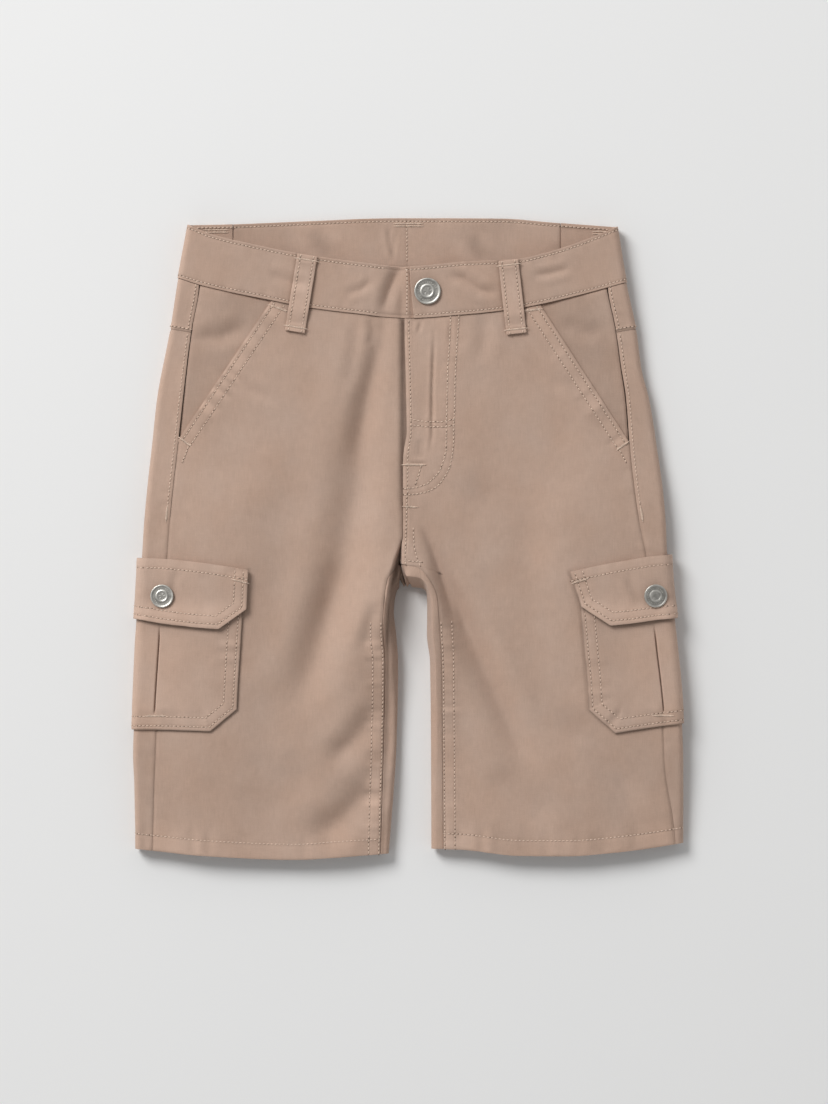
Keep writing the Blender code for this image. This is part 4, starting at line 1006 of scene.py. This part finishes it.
def makeBack(side):
    # rows from the side seam round the fold, over the floor, and up round the inner fold to the
    # centre seam or the inseam: a quarter turn into the fold and a quarter turn out of it
    word = sideNames[side]
    name = f"cloth_back_{word}"
    table = innerEdges[side]
    base, place = wrapPlace(side)
    end = backs["wrapEnd"]
    upShares = np.linspace(1, 0, backs["upRows"], endpoint=False)
    downRows = np.linspace(upperBackRow, hemRow, backs["downRows"])
    row = np.concatenate([np.full(len(upShares), upperBackRow), downRows])[:, None]
    share = np.concatenate([upShares, np.zeros(len(downRows))])[:, None]
    seam = seamS(side, row + share * 90)
    inner = {key: read(table, key, row) for key in table[0].split()}
    wrapS = seam + (end - seam) * np.linspace(0, 1, backs["wrapColumns"])[None]
    joinX = inner["foldX"] + side * backs["join"]
    wrapEnd = foldX(side, row) - side * (-end - foldCloth + body["foldRadius"])
    floorX = wrapEnd + (joinX - wrapEnd) * np.linspace(0, 1, backs["floorColumns"])[None, 1:]
    turnIn = np.linspace(0, 1, backs["turnColumns"])[None]
    nearShare = 0.25 * (1 - np.sin(turnIn * np.pi / 2))
    nearX = inner["foldX"] + (joinX - inner["foldX"]) * nearShare
    nearY = inner["foldY"] + (row - inner["foldY"]) * nearShare
    nearTurn = inner["foldTurn"] * turnIn
    turnOut = np.linspace(0, 1, backs["turnColumns"])[None, 1:]
    farShare = np.concatenate([0.5 * (1 - np.cos(turnOut * np.pi / 2)), np.linspace(0.5, 1, 5)[None, 1:]], 1)
    farTurn = np.concatenate([turnOut, np.ones((1, 4))], 1)
    farX = inner["foldX"] + (inner["edgeX"] - inner["foldX"]) * farShare
    farY = inner["foldY"] + (inner["edgeY"] - inner["foldY"]) * farShare
    farTurn = inner["foldTurn"] + (inner["edgeTurn"] - inner["foldTurn"]) * farTurn
    x = np.concatenate([floorX, nearX, farX], 1)
    y = np.concatenate([row + 0 * floorX, nearY, farY], 1)
    turn = np.concatenate([0 * floorX, nearTurn, farTurn], 1)
    s = np.concatenate([wrapS, -(side * (foldX(side, 90) - x)) + body["foldRadius"] - foldCloth], 1)
    lifted = upperBackRow + share * (read(yokeSeam, "y", s) - body["seamGap"] - upperBackRow)
    lifting = share > 0
    wrapY = np.where(lifting, lifted[:, :wrapS.shape[1]], row)
    y = np.where(lifting, lifted[:, wrapS.shape[1]:], y)
    hemWrapY = hemShift(wrapY, base(wrapS, wrapY)[..., 0])
    floorAndInner = np.stack([x, hemShift(y, x), turnedZ(x, y, turn)], -1)
    points = np.concatenate([place(wrapS, hemWrapY), floorAndInner], 1)
    plain = np.concatenate([base(wrapS, hemWrapY), floorAndInner], 1)
    # wear on raised cloth, painted shade in sunken places and down the crotch roll
    wearAndShade = np.linalg.norm(points - plain, axis=-1) * np.sign(points[..., 2] - plain[..., 2])
    wearAndShade = wearAndShade / paintedShade["relief"] - paintedShade["roll"] * crotchDip(points[..., 0], points[..., 1])
    edge = np.concatenate([np.full(wrapS.shape[1] + x.shape[1] - 4, 0.0), backs["edgeShares"]])
    points[..., 2] -= backs["edgeDrop"] * edge * (turn.max(1, keepdims=True) >= 1)
    gone = np.linalg.norm(np.diff(points, axis=1), axis=-1)
    walked = np.concatenate([np.zeros((len(points), 1)), np.cumsum(gone, 1)], 1) - seam
    shell(name, points, np.stack([-walked, points[..., 1]], -1), wearAndShade, body["cloth"], "twill",
          f"back_panel_{word}", side == left)
    sew(name, place, -side, body["cloth"], sideSeamRow(side, 131.5, 13, 60))
    tack = [(float(seamS(side, y)) - 2.2, y) for y in (19, 12.5)]
    bartack(name, place, -side, body["cloth"], *tack)
    ss = np.linspace(float(seamS(side, -203)) - 0.6, backs["stitchEnd"], 30)
    hemX = base(ss, np.full(30, -195.0))[..., 0]
    hemRowY = read(hem, "y", hemX) + seamLooks["hem"]["rows"][0]
    sew(name, place, -side, body["cloth"], np.stack([ss, hemRowY], 1))


band = {"wall": 2.0, "row": 2.1, "standX": 26.0, "overlap": (-2.9, -1.6), "under": 2.4,
        "backSeamX": {right: -113.5, left: 99.5}, "tackX": {right: -124.5, left: 128.5},
        "rim": 0.36, "relief": 0.4}


def bandEdges(x, onTop):
    # the band's lower and upper edge
    low = np.where(onTop, read(frontWaist, "y", x), read(backWaist, "y", x))
    return low, np.where(onTop, read(frontTop, "y", x), read(backTop, "y", x))


def bandPlace(side):
    # the body's surface, with the wearer's right end stepped down under the left, then stitched edges
    def base(s, y):
        points = sideSurface(side, s, y)
        if side == right:
            onTop = np.broadcast_to(np.asarray(s, float) > 0, points.shape[:-1])
            x = points[..., 0]
            points[..., 2] -= (band["under"] * smooth((x + 22) / 16) + 0.7 * bell(x + 4, 2.6)) * onTop
        return points

    def relief(s, y):
        x = base(s, y)[..., 0]
        low, high = bandEdges(x, s > 0)
        height = seamed(np.maximum(high - y, 0), s, seamLooks["band"], 121 + side)
        height = height + seamed(np.maximum(y - low, 0), s, seamLooks["band"], 123 + side)
        if side == left:
            height = height + seamed(np.abs(x - band["overlap"][0]), y, seamLooks["band"], 127) * (s > 0)
            bx, by, _ = buttonPlaces["waist"]
            height = height - 0.35 * bell(np.hypot(x - bx, y - by), 9.5)
        return height
    return base, moved(base, -side, relief)


def makeBand(side):
    # from the front end round the fold to the join in the back; the edges' heights are found by
    # walking a few times between a place's x and the edges there
    word = sideNames[side]
    name = f"cloth_waistband_{word}"
    base, place = bandPlace(side)
    share = crowded(34)[::-1, None]
    upperX, lowerX = band["overlap"]
    endX = band["standX"] if side == right else lowerX + share * (upperX - lowerX)
    at = 168.0 + share * 34
    start = sideDistance(side, endX, at)
    last = -sideDistance(side, band["backSeamX"][side], at)
    t = np.linspace(0, 1, 236)[None]
    s = start + (last - start) * t
    y = at + 0 * t
    for _ in range(8):
        x = base(s, y)[..., 0]
        low, high = bandEdges(x, s > 0)
        y = low + share * (high - low)
    points = place(s, y)
    plain = base(s, y)
    # wear on raised cloth and painted shade in sunken rows; then painted shadow under the belt loops
    wearAndShade = ((points - plain) * outward(base, s, y, -side)).sum(-1) / band["relief"]
    points[:, -1, 0] = band["backSeamX"][side]
    wearAndShade = wearAndShade - paintedShade["loop"] * paintedContactShade(points[..., 0], points[..., 1], underLoop(side), loops["width"] / 2)
    shell(name, points, np.stack([s, y], -1), wearAndShade, band["wall"], "waistband", f"waistband_{word}",
          side == left, rim=band["rim"])
    wall = band["wall"]
    first = float(sideDistance(side, -16.0 if side == right else -0.6, 175))
    ss = np.linspace(first, -9.0, 120)

    def level(fromTop, distance):
        ys = np.full(len(ss), 175.0)
        for _ in range(6):
            low, high = bandEdges(base(ss, ys)[..., 0], ss > 0)
            ys = high - distance if fromTop else low + distance
        return np.stack([ss, ys], 1)
    sew(name, place, -side, wall, level(True, band["row"]))
    sew(name, place, -side, wall, level(False, band["row"]))
    if side == left:
        ys = np.linspace(145.6, 173, 20)
        sew(name, place, -side, wall, np.stack([sideDistance(left, -0.2 + 0 * ys, ys), ys], 1))
    # the inside of the band's back, seen through the waist
    ss = np.linspace(-9.0, float(-sideDistance(side, band["backSeamX"][side] + side * 1.2, 200)), 24)
    sew(name, place, side, wall, level(True, band["row"]))
    tackX = band["tackX"][side]
    start, end = (float(-sideDistance(side, tackX + half, 200)) for half in (-6.5, 6.5))
    high = float(read(backTop, "y", tackX)) - 3.4
    for offset in (0.0, 1.6):
        bartack(name, place, side, wall, (start, high - offset), (end, high - offset), width=1.5)
    return place


# Creases in the inside of the band at the back
backGathers = {
    "right of seam": (((-13.2, 204), (-11.8, 190), (-10.4, 180)), 1.5, 0.5, 0.2),
    "at seam": (((-8.3, 200), (-9.4, 188), (-10.2, 178)), 1.2, 0.3, 0.2),
    "left": (((41, 198), (44, 188), (52, 180)), 4.0, 0.35, 0.2),
    "right": (((-62, 202), (-58, 192), (-49, 183)), 5.0, 0.3, 0.2),
}


def makeBackBand():
    # flat between the two joins: the floor layer's height, stitched edges and a centre seam
    name = "cloth_waistband_back"
    share = crowded(34)[::-1, None]
    x = np.linspace(band["backSeamX"][right] + 0.3, band["backSeamX"][left] - 0.3, 150)[None] + 0 * share
    low, high = bandEdges(x, False)
    y = low + share * (high - low)

    def place(u, v):
        u, v = asGrid(u, v)
        lowHere, highHere = bandEdges(u, False)
        z = floorZ(u, v) + seamed(np.maximum(highHere - v, 0), u, seamLooks["band"], 131)
        z = z + seamed(np.maximum(v - lowHere, 0), u, seamLooks["band"], 132)
        z = z - creased(u, v, backGathers) + 0.22 * undulate(u, v, 19.0, 77)
        z = z + seamed(np.abs(u - band["backSeamX"][right] - 0.3), v, seamLooks["plain"], 133)
        z = z + seamed(np.abs(u - band["backSeamX"][left] + 0.3), v, seamLooks["plain"], 134)
        z = z - 0.3 * bell(u + 0.4, 0.8)
        return np.stack([u, v, z], -1)
    points = place(x, y)
    # wear on raised cloth and painted shade in sunken rows and gathers
    wearAndShade = (points[..., 2] - floorZ(x, y)) / paintedShade["relief"]
    shell(name, points, np.stack([x, y], -1), wearAndShade, band["wall"], "waistband", "waistband_back", True,
          rim=band["rim"])
    xs = np.linspace(-112, 98, 120)
    sew(name, place, 1, band["wall"], np.stack([xs, read(backTop, "y", xs) - band["row"]], 1))
    sew(name, place, 1, band["wall"], ((-0.4, 203), (-0.4, 181)))
    for offset in (0.0, 1.6):
        bartack(name, place, 1, band["wall"], (-7.0, 204.3 - offset), (8.0, 204.3 - offset), width=1.5)


# Flaps and pockets by the cloth's distance s from the side fold: each column's top and bottom place
flaps = {
    right: ("s sTop yTop sBottom yBottom", (
        (71.8, 71.7, -20.3, 71.9, -45.7), (55.1, 55.1, -17.6, 55.1, -58.4), (37.1, 37.1, -15.2, 37.1, -57),
        (17.1, 17.1, -13.3, 17.1, -54.6), (0, 0, -12.8, 0, -51.8), (-28.1, -28.1, -12.6, -28.1, -52),
        (-44.1, -44.1, -12.6, -44.1, -40))),
    left: ("s sTop yTop sBottom yBottom", (
        (65.1, 66.6, -21.5, 61.3, -44.3), (45.1, 47.1, -17.5, 43.7, -56.2), (31.1, 31.1, -14.5, 31.1, -55),
        (13.1, 13.1, -11.6, 13.1, -52.6), (0, 0, -10.6, 0, -51.6), (-35.1, -35.1, -10.2, -35.1, -51.6),
        (-52.1, -52.1, -10.2, -50.1, -40))),
}
pockets = {
    right: ("s sTop yTop sBottom yBottom", (
        (69.3, 69.9, -29, 68.8, -110.4), (52.4, 53.1, -26, 52.4, -124.5), (17.1, 17.1, -24, 17.1, -123.4),
        (0, 0, -24, 0, -123.6), (-26.1, -26.1, -24, -26.1, -123.6), (-43.1, -43.1, -24, -43.1, -110))),
    left: ("s sTop yTop sBottom yBottom", (
        (62.1, 61.5, -29, 62.4, -110.4), (46.1, 46.1, -26, 46.3, -125.5), (17.1, 16.1, -23, 18.1, -121.5),
        (0, 0, -23, 0, -119.5), (-33.1, -33.1, -22, -33.1, -119.5), (-50.1, -50.1, -22, -50.1, -106))),
}
pleat = {"s": {right: 16.5, left: 14.7}, "halfMouth": 0.45, "slope": 0.6, "depth": 0.5, "groove": 1.7,
         "topY": -54.0, "fullY": -68.0, "footY": -109.0, "endY": -114.5, "spread": 34.0, "lean": 0.9}
raised = {"pocket": 1.4, "flap": 3.0, "flapWall": 1.4}   # the middles of the two over the cloth below
buttonPlaces = {"waist": (12.8, 159.9, 17.2), right: (-158.2, -37.2, 15.0), left: (159.7, -36.9, 15.0)}


def outline(table, fromTop=False):
    # down the inner edge, along the foot and up the outer edge, and over the top where asked
    rows = sorted(table[1], reverse=True)
    foot = [(row[3], row[4]) for row in rows]
    path = [(rows[0][1], rows[0][2]), *foot, (rows[-1][1], rows[-1][2])]
    return np.array(path if not fromTop else path + [(row[1], row[2]) for row in rows[::-1]][1:], float)


def sideGrid(table, s, share):
    # each column runs straight from its top place to its bottom one, whose corners stay sharp
    data = np.array(sorted(table[1]), float)
    topS, bottomS = read(table, "sTop", s), read(table, "sBottom", s)
    topY, bottomY = read(table, "yTop", s), np.interp(s, data[:, 0], data[:, 4])
    return topS + share * (bottomS - topS), topY + share * (bottomY - topY)


def pocketPlace(side):
    # out from the body: the pocket's lift, a pleat swelling to its groove, and the stitched edge;
    # level again where it goes round under the fold
    base = lambda s, y: sideSurface(side, s, y)
    edge = outline(pockets[side])

    def out(s, y):
        away = np.abs(s - pleat["s"][side] - pleat["lean"] * smooth((y + 120) / 60) + 0.5)
        length = smooth((pleat["topY"] - y) / (pleat["topY"] - pleat["fullY"]))
        length = length * smooth((y - pleat["endY"]) / (pleat["footY"] - pleat["endY"]))
        groove = 1 - smooth((away - pleat["halfMouth"]) / pleat["slope"])
        spread = 1 - smooth((away - pleat["halfMouth"] - pleat["slope"]) / pleat["spread"])
        height = length * (pleat["depth"] * spread - pleat["groove"] * groove)
        off, walked, _ = nearPath(s, y, edge)
        height = height + seamed(off, walked, seamLooks["pocket"], 141 + side) * (1 - groove * length)
        return raised["pocket"] + height * smooth((s + 12) / 10)
    return moved(base, -side, out), out


def makePocket(side):
    # columns crowd at both edges and in the pleat, where two that nearly meet are made one
    word = sideNames[side]
    name = f"cloth_pocket_{word}"
    place, out = pocketPlace(side)
    table = pockets[side]
    low, high = min(row[0] for row in table[1]), max(row[0] for row in table[1])
    near = pleat["s"][side] + np.linspace(-3.6, 3.6, 25)
    columns = np.concatenate([low + (high - low) * crowded(118, 0.5), near])
    columns = np.unique(np.round(columns, 2))[::-1]
    columns = columns[np.concatenate([[True], np.abs(np.diff(columns)) > 0.11])]
    columns[-1] = low
    s, y = sideGrid(table, columns[None], crowded(104, 0.5)[:, None])
    # wear on raised cloth and painted shade in the pleat's groove, painted shadow under the flap's edge, and
    # painted shade along the pocket's own rim
    wearAndShade = (out(s, y) - raised["pocket"]) / 0.9 - 1.8 * paintedContactShade(s, y, outline(flaps[side]), reach=1.7)
    wearAndShade = wearAndShade - 2.2 * paintedContactShade(s, y, outline(table), reach=paintedShade["rim"])
    shell(name, place(s, y), np.stack([s, y], -1), wearAndShade, body["cloth"], "pockets", f"cargo_pocket_{word}",
          side == left)
    wall = body["cloth"]
    for distance in seamLooks["pocket"]["rows"]:
        path = dense(beside(outline(table), -distance), 1.0)
        sew(name, place, -side, wall, within(path, lambda u, v: v < -48))
    foot = pleat["s"][side]
    bartack(name, place, -side, wall, (foot - 5.0, -114.6), (foot + 5.0, -114.4), width=1.8)


flapFolds = {
    right: {"soft": (((27.5, -16), (24.5, -26), (21.0, -44)), 2.4, 0.35, 0.15)},
    left: {"soft": (((31, -22), (28, -34), (24, -46)), 3.0, 0.3, 0.12)},
}


def makeFlap(side):
    # out from the body: the flap's lift, its stitched edges, a dent round the button, a lift towards
    # the free corner and a soft fold; level again where it goes round under the fold
    word = sideNames[side]
    name = f"cloth_flap_{word}"
    table = flaps[side]
    edge, closed = outline(table), outline(table, True)
    topRun = closed[len(edge) - 1:]
    base = lambda s, y: sideSurface(side, s, y)
    bx, by, _ = buttonPlaces[side]
    bs = float(sideDistance(side, bx, by))
    wall = raised["flapWall"]

    def out(s, y):
        off, walked, _ = nearPath(s, y, edge)
        height = seamed(off, walked, seamLooks["flap"], 151 + side)
        off, walked, _ = nearPath(s, y, topRun)
        height = height + seamed(off, walked, seamLooks["flapTop"], 153 + side)
        height = height + 0.9 * smooth((-36 - y) / 18) * smooth((s + 6) / 20)
        height = height - 0.45 * bell(np.hypot(s - bs, y - by), 8.5) - creased(s, y, flapFolds[side])
        return raised["flap"] + height * smooth((s + 12) / 10)
    place = moved(base, -side, out)
    low, high = min(row[0] for row in table[1]), max(row[0] for row in table[1])
    columns = (low + (high - low) * crowded(122, 0.5))[::-1]
    s, y = sideGrid(table, columns[None], crowded(50, 0.5)[:, None])
    # wear and painted shade by the flap's relief, and painted shade along its rim
    wearAndShade = (out(s, y) - raised["flap"] + 0.1) / 0.6 - 2.2 * paintedContactShade(s, y, edge, reach=paintedShade["rim"])
    shell(name, place(s, y), np.stack([s, y], -1), wearAndShade, wall, "pockets", f"cargo_flap_{word}",
          side == left, rim=0.4)
    rowTop = -22.5 if side == left else -21.5
    for distance in seamLooks["flap"]["rows"]:
        path = dense(beside(edge, -distance), 1.0)
        sew(name, place, -side, wall, within(path, lambda u, v: v < np.interp(u, [0, 66], [-13.5, rowTop])))
    sew(name, place, -side, wall, beside(topRun, -seamLooks["flapTop"]["rows"][0]))
    bartack(name, place, -side, wall, (high - 8.2, -26.4), (high - 1.2, -28.4), width=1.8)
    return place


loops = {"width": 13.0, "wall": 1.2, "row": 2.3,
         "front": {right: ((-64.8, 183.0), (-72.9, 133.6)), left: ((65.0, 179.7), (70.4, 132.3))},
         "back": {"right": -124.5, "centre": 0.5, "left": 118.0}, "backFootY": 160.0,
         "backStitchZ": 1.0}     # high enough that the back loops' stitches clear the floor


def loopPlace(top, foot, lift):
    # a straight strip over what lies below: its ends folded under and pressed down by their
    # bartacks, its middle standing off by half a sine, its two rows pinched in
    length = math.hypot(foot[0] - top[0], foot[1] - top[1])
    along = np.array([foot[0] - top[0], foot[1] - top[1]]) / length

    def place(u, v):
        u, v = asGrid(u, v)
        x = top[0] + along[0] * u - along[1] * v
        y = top[1] + along[1] * u + along[0] * v
        edge = loops["width"] / 2 - np.abs(v)
        ends = np.minimum(u, length - u)
        z = lift(x, y) - 0.14 * bell(edge - loops["row"], 0.7)
        z = z + 0.35 * (1 - smooth((ends - 4.5) / 1.8)) - 0.3 * bell(ends - 3.0, 0.9)
        z = z + 0.10 * wander(u, 3.2, 171) * bell(edge, 3.5) - 0.2 * (1 - smooth(edge / 1.0))
        z = z + 0.55 * np.sin(np.pi * np.clip((ends - 5) / (length - 10), 0, 1)) * smooth((ends - 4) / 8)
        return np.stack([x, y, z], -1)
    return place, length


def makeLoop(name, top, foot, lift, cadNode):
    place, length = loopPlace(top, foot, lift)
    u = np.linspace(0, length, 64)[:, None]
    v = (crowded(22, 0.5) - 0.5)[None] * loops["width"]
    u, v = np.broadcast_arrays(u, v)
    points = place(u, v)
    # wear on the raised middle and painted shade in the pinched rows and pressed ends
    wearAndShade = (points[..., 2] - lift(points[..., 0], points[..., 1])) / paintedShade["relief"]
    shell(name, points, np.stack([v, -u], -1), wearAndShade, loops["wall"], "waistband", cadNode, True)
    for v0 in (loops["row"] - loops["width"] / 2, loops["width"] / 2 - loops["row"]):
        sew(name, place, 1, loops["wall"], ((1.0, v0), (length - 1.0, v0)))
    for u0 in (3.0, length - 3.0):
        bartack(name, place, 1, loops["wall"], (u0, -5.6), (u0, 5.6), width=1.7)


def overFront(x, y):
    # the middle of a loop lying on the front: half the cloth or band, the gap, half the loop
    onBand = smooth((y - read(frontWaist, "y", x) + 9) / 6)
    cloth = body["cloth"] / 2 + (band["wall"] - body["cloth"]) / 2 * onBand
    return topZ(x, y) + cloth + body["layerGap"] + loops["wall"] / 2


def makeLoops():
    # two in front, and three flat ones that lie on the floor below the back band
    for side in (right, left):
        top, foot = loops["front"][side]
        word = sideNames[side]
        makeLoop(f"cloth_loop_front_{word}", top, foot, overFront, f"belt_loop_front_{word}")
    for word, x in loops["back"].items():
        top = float(read(backTop, "y", x)) - 0.5
        name = f"cloth_loop_back_{word}"
        length = top - loops["backFootY"]
        u, v = np.linspace(0, length, 40)[:, None], (crowded(18, 0.5) - 0.5)[None] * loops["width"]
        points = np.stack([x + v + 0 * u, top - u + 0 * v, loops["wall"] / 2 + 0 * (u + v)], -1)
        shell(name, points, np.stack(np.broadcast_arrays(v, -u), -1), 0 * points[..., 2], loops["wall"],
              "waistband", f"belt_loop_back_{word}", True)
        level = loops["backStitchZ"]
        place = lambda a, b, x=x, top=top: np.stack(np.broadcast_arrays(x + b, top - a, level), -1)
        for v0 in (loops["row"] - loops["width"] / 2, loops["width"] / 2 - loops["row"]):
            sew(name, place, -1, loops["wall"], ((1.0, v0), (length - 1.0, v0)))


# Shank buttons: radius as a share of the edge, height, and wear for each ring of the turned cap
buttonLook = {
    "profile": (
        (0.0, 1.52, 0.9), (0.10, 1.50, 0.6), (0.20, 1.46, 0.7), (0.30, 1.48, 0.8), (0.36, 1.50, 0.55),
        (0.40, 1.66, 0.8), (0.44, 1.74, 1.0), (0.47, 1.74, 1.0), (0.51, 1.64, 0.8), (0.56, 1.50, 0.45),
        (0.60, 1.48, 0.55), (0.78, 1.52, 0.6), (0.84, 1.56, 0.5), (0.88, 1.72, 0.8), (0.92, 1.80, 0.95),
        (0.955, 1.78, 0.9), (0.985, 1.62, 0.6), (1.0, 1.30, 0.3), (1.0, 0.60, 0.1), (0.98, 0.32, 0.0),
        (0.92, 0.06, 0.0), (0.5, 0.0, 0.0), (0.0, 0.0, 0.0)),
    "steps": 72, "bars": 26, "barRing": 0.69, "barLong": 0.062, "barWide": 0.030, "petals": 6,
    "flapLift": 1.0, "waistLift": 1.25,      # the cap's foot over the middle of the cloth
}


def makeButton(name, cadNode, origin, normal, diameter, seed):
    # a turned cap on its own axis, a ring of plain bars between its two raised rings, and a
    # shallow rosette in the middle: height falls with the cosine of the angle times the petals
    look = buttonLook
    edge, steps = diameter / 2, look["steps"]
    radius, height, wornAndShaded = np.array(look["profile"]).T
    angle = np.arange(steps) * 2 * np.pi / steps
    rosette = 0.05 * np.cos(look["petals"] * angle[None]) * bell(radius[:, None] - 0.2, 0.09)
    rosette = rosette * (height[:, None] > 1)
    ringZ, ringOut = height[1:-1, None] + rosette[1:-1], radius[1:-1, None] * edge
    rings = np.stack([ringOut * np.cos(angle), ringOut * np.sin(angle), ringZ], -1)
    count = len(radius) - 2
    points = np.concatenate([[[0, 0, height[0]]], rings.reshape(-1, 3), [[0, 0, height[-1]]]])
    wearAndShade = np.concatenate([[wornAndShaded[0]], np.repeat(wornAndShaded[1:-1], steps), [wornAndShaded[-1]]])
    k, after = np.arange(steps), (np.arange(steps) + 1) % steps
    first = (np.arange(count - 1)[:, None] * steps + 1)
    quads = np.stack([first + k, first + steps + k, first + steps + after, first + after], -1).reshape(-1, 4)
    tris = np.concatenate([quads[:, [0, 1, 2]], quads[:, [0, 2, 3]],
                           np.stack([np.zeros(steps, int), 1 + k, 1 + after], 1),
                           np.stack([np.full(steps, len(points) - 1), len(points) - 1 - steps + after,
                                     len(points) - 1 - steps + k], 1)])
    # the bars: a rounded block, wider at its foot
    block = np.array([(-1, -1, 0), (1, -1, 0), (1, 1, 0), (-1, 1, 0), (-0.7, -0.6, 1), (0.7, -0.6, 1),
                      (0.7, 0.6, 1), (-0.7, 0.6, 1)], float)
    blockFaces = np.array([(4, 5, 6), (4, 6, 7), (0, 1, 5), (0, 5, 4), (1, 2, 6), (1, 6, 5),
                           (2, 3, 7), (2, 7, 6), (3, 0, 4), (3, 4, 7), (0, 2, 1), (0, 3, 2)])
    at = np.arange(look["bars"]) * 2 * np.pi / look["bars"] + 0.3 * seed
    lean = 0.25 * wander(np.arange(look["bars"]) * 1.0, 1.0, seed + 5)
    outX, outY = np.cos(at)[:, None], np.sin(at)[:, None]
    a = look["barRing"] + look["barLong"] * block[None, :, 0]
    b = look["barWide"] * block[None, :, 1] + look["barLong"] * lean[:, None] * block[None, :, 0]
    bars = np.stack([edge * (a * outX - b * outY), edge * (a * outY + b * outX),
                     np.broadcast_to(1.42 + 0.20 * block[None, :, 2], a.shape[:1] + (8,)) + 0 * b], -1)
    barFaces = (blockFaces[None] + (np.arange(look["bars"]) * 8)[:, None, None]).reshape(-1, 3) + len(points)
    barWear = np.tile(np.where(block[:, 2] > 0.5, 1.0, 0.2), look["bars"])
    points = np.concatenate([points, bars.reshape(-1, 3)])
    normal = np.asarray(normal, float) / np.linalg.norm(normal)
    across = np.cross([0.0, 1.0, 0.0], normal)
    across /= np.linalg.norm(across)
    up = np.cross(normal, across)
    placed = origin + points[:, :1] * across + points[:, 1:2] * up + points[:, 2:] * normal
    made = meshOf(name, placed, np.concatenate([tris, barFaces]), points[:, :2], [nickel],
                  np.concatenate([wearAndShade, barWear]))
    made.data.set_sharp_from_angle(angle=math.radians(50))
    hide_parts(cadNode)
    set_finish(made, "buttons")


print("fronts")
for side in (right, left):
    makeFront(side)
    makeFacing(side)
print("backs")
for side in (right, left):
    makeYoke(side)
    makeBack(side)
print("waist")
bandSurfaces = {side: makeBand(side) for side in (right, left)}
makeBackBand()
makeLoops()
print("pockets")
flapSurfaces = {}
for side in (right, left):
    makePocket(side)
    flapSurfaces[side] = makeFlap(side)
print("buttons")
for side in (right, left):
    bx, by, diameter = buttonPlaces[side]
    bs = float(sideDistance(side, bx, by))
    normal = outward(lambda u, v: sideSurface(side, u, v), np.array(bs), np.array(by), -side)
    origin = flapSurfaces[side](np.array(bs), np.array(by)) + normal * buttonLook["flapLift"]
    word = sideNames[side]
    makeButton(f"button_flap_{word}", f"flap_button_{word}", origin, normal, diameter, 3 + side)
bx, by, diameter = buttonPlaces["waist"]
bs = float(sideDistance(left, bx, by))
origin = bandSurfaces[left](np.array(bs), np.array(by)) + np.array([0, 0, buttonLook["waistLift"]])
makeButton("button_waist", "waist_button", origin, (0, 0, 1), diameter, 2)

stitchPieces = {piece: stitchMesh(piece, piece.replace("cloth_", "stitches_"))
                for piece in sewn if sewn[piece]}
print(f"{len(cuts)} cloth pieces declared")

# The studio: a pale sweep, a big soft light from the upper left, a straight-down camera
studio = {"floor": (0.86, 0.86, 0.855), "floorHalf": 2.5, "floorZ": -0.00003,
          "key": 180.0, "keySize": 2.3, "keyPlace": (-2.45, 2.70, 3.0),
          "fill": 0.40, "overhead": 0.3, "rise": 2.1,
          "lens": 120.0, "viewCentre": (0.00399, -0.00878), "viewHeight": 0.7176}


def makeStudio():
    half, low = studio["floorHalf"], studio["floorZ"]
    mesh = bpy.data.meshes.new("studioFloor")
    mesh.from_pydata([(-half, -half, low), (half, -half, low), (half, half, low), (-half, half, low)],
                     [], [(0, 1, 2, 3)])
    floor = bpy.data.objects.new("studioFloor", mesh)
    bpy.context.scene.collection.objects.link(floor)
    material, tree, shader = blank("paleSweep", studio["floor"])
    here = node(tree, "ShaderNodeTexCoord").outputs["Object"]
    shade = calc(tree, "MULTIPLY_ADD", noise(tree, here, (3, 3, 3), 2), 0.02, 1.0)
    paint(tree, shader, studio["floor"], shade)
    shader.inputs["Roughness"].default_value = 0.95
    shader.inputs["Specular IOR Level"].default_value = 0.1
    mesh.materials.append(material)

    # the room is brighter near the horizon than overhead: fill x (overhead + rise x (1 - height))
    world = bpy.data.worlds.new("studioAir")
    world.use_nodes = True
    air = world.node_tree
    air.nodes["Background"].inputs["Color"].default_value = (1.0, 1.0, 1.0, 1)
    toward = node(air, "ShaderNodeTexCoord").outputs["Generated"]
    up = calc(air, "MAXIMUM", node(air, "ShaderNodeSeparateXYZ", {0: toward}).outputs["Z"], 0.0)
    lit = calc(air, "MULTIPLY_ADD", up, -studio["fill"] * studio["rise"],
               studio["fill"] * (studio["overhead"] + studio["rise"]))
    air.links.new(lit, air.nodes["Background"].inputs["Strength"])
    bpy.context.scene.world = world

    light = bpy.data.lights.new("key", "AREA")
    light.shape, light.size, light.energy = "DISK", studio["keySize"], studio["key"]
    lamp = bpy.data.objects.new("key", light)
    bpy.context.scene.collection.objects.link(lamp)
    lamp.location = studio["keyPlace"]
    lamp.rotation_mode = "QUATERNION"
    lamp.rotation_quaternion = (-Vector(studio["keyPlace"])).to_track_quat("-Z", "Y")

    camera = bpy.data.cameras.new("overhead")
    camera.lens = studio["lens"]
    camera.sensor_width = 36.0
    eye = bpy.data.objects.new("overhead", camera)
    bpy.context.scene.collection.objects.link(eye)
    away = studio["lens"] * studio["viewHeight"] / camera.sensor_width
    eye.location = (*studio["viewCentre"], away)
    camera.clip_end = 20.0
    bpy.context.scene.camera = eye


makeStudio()
bpy.context.scene.view_settings.view_transform = "Standard"
bpy.context.view_layer.update()
print("studio ready")
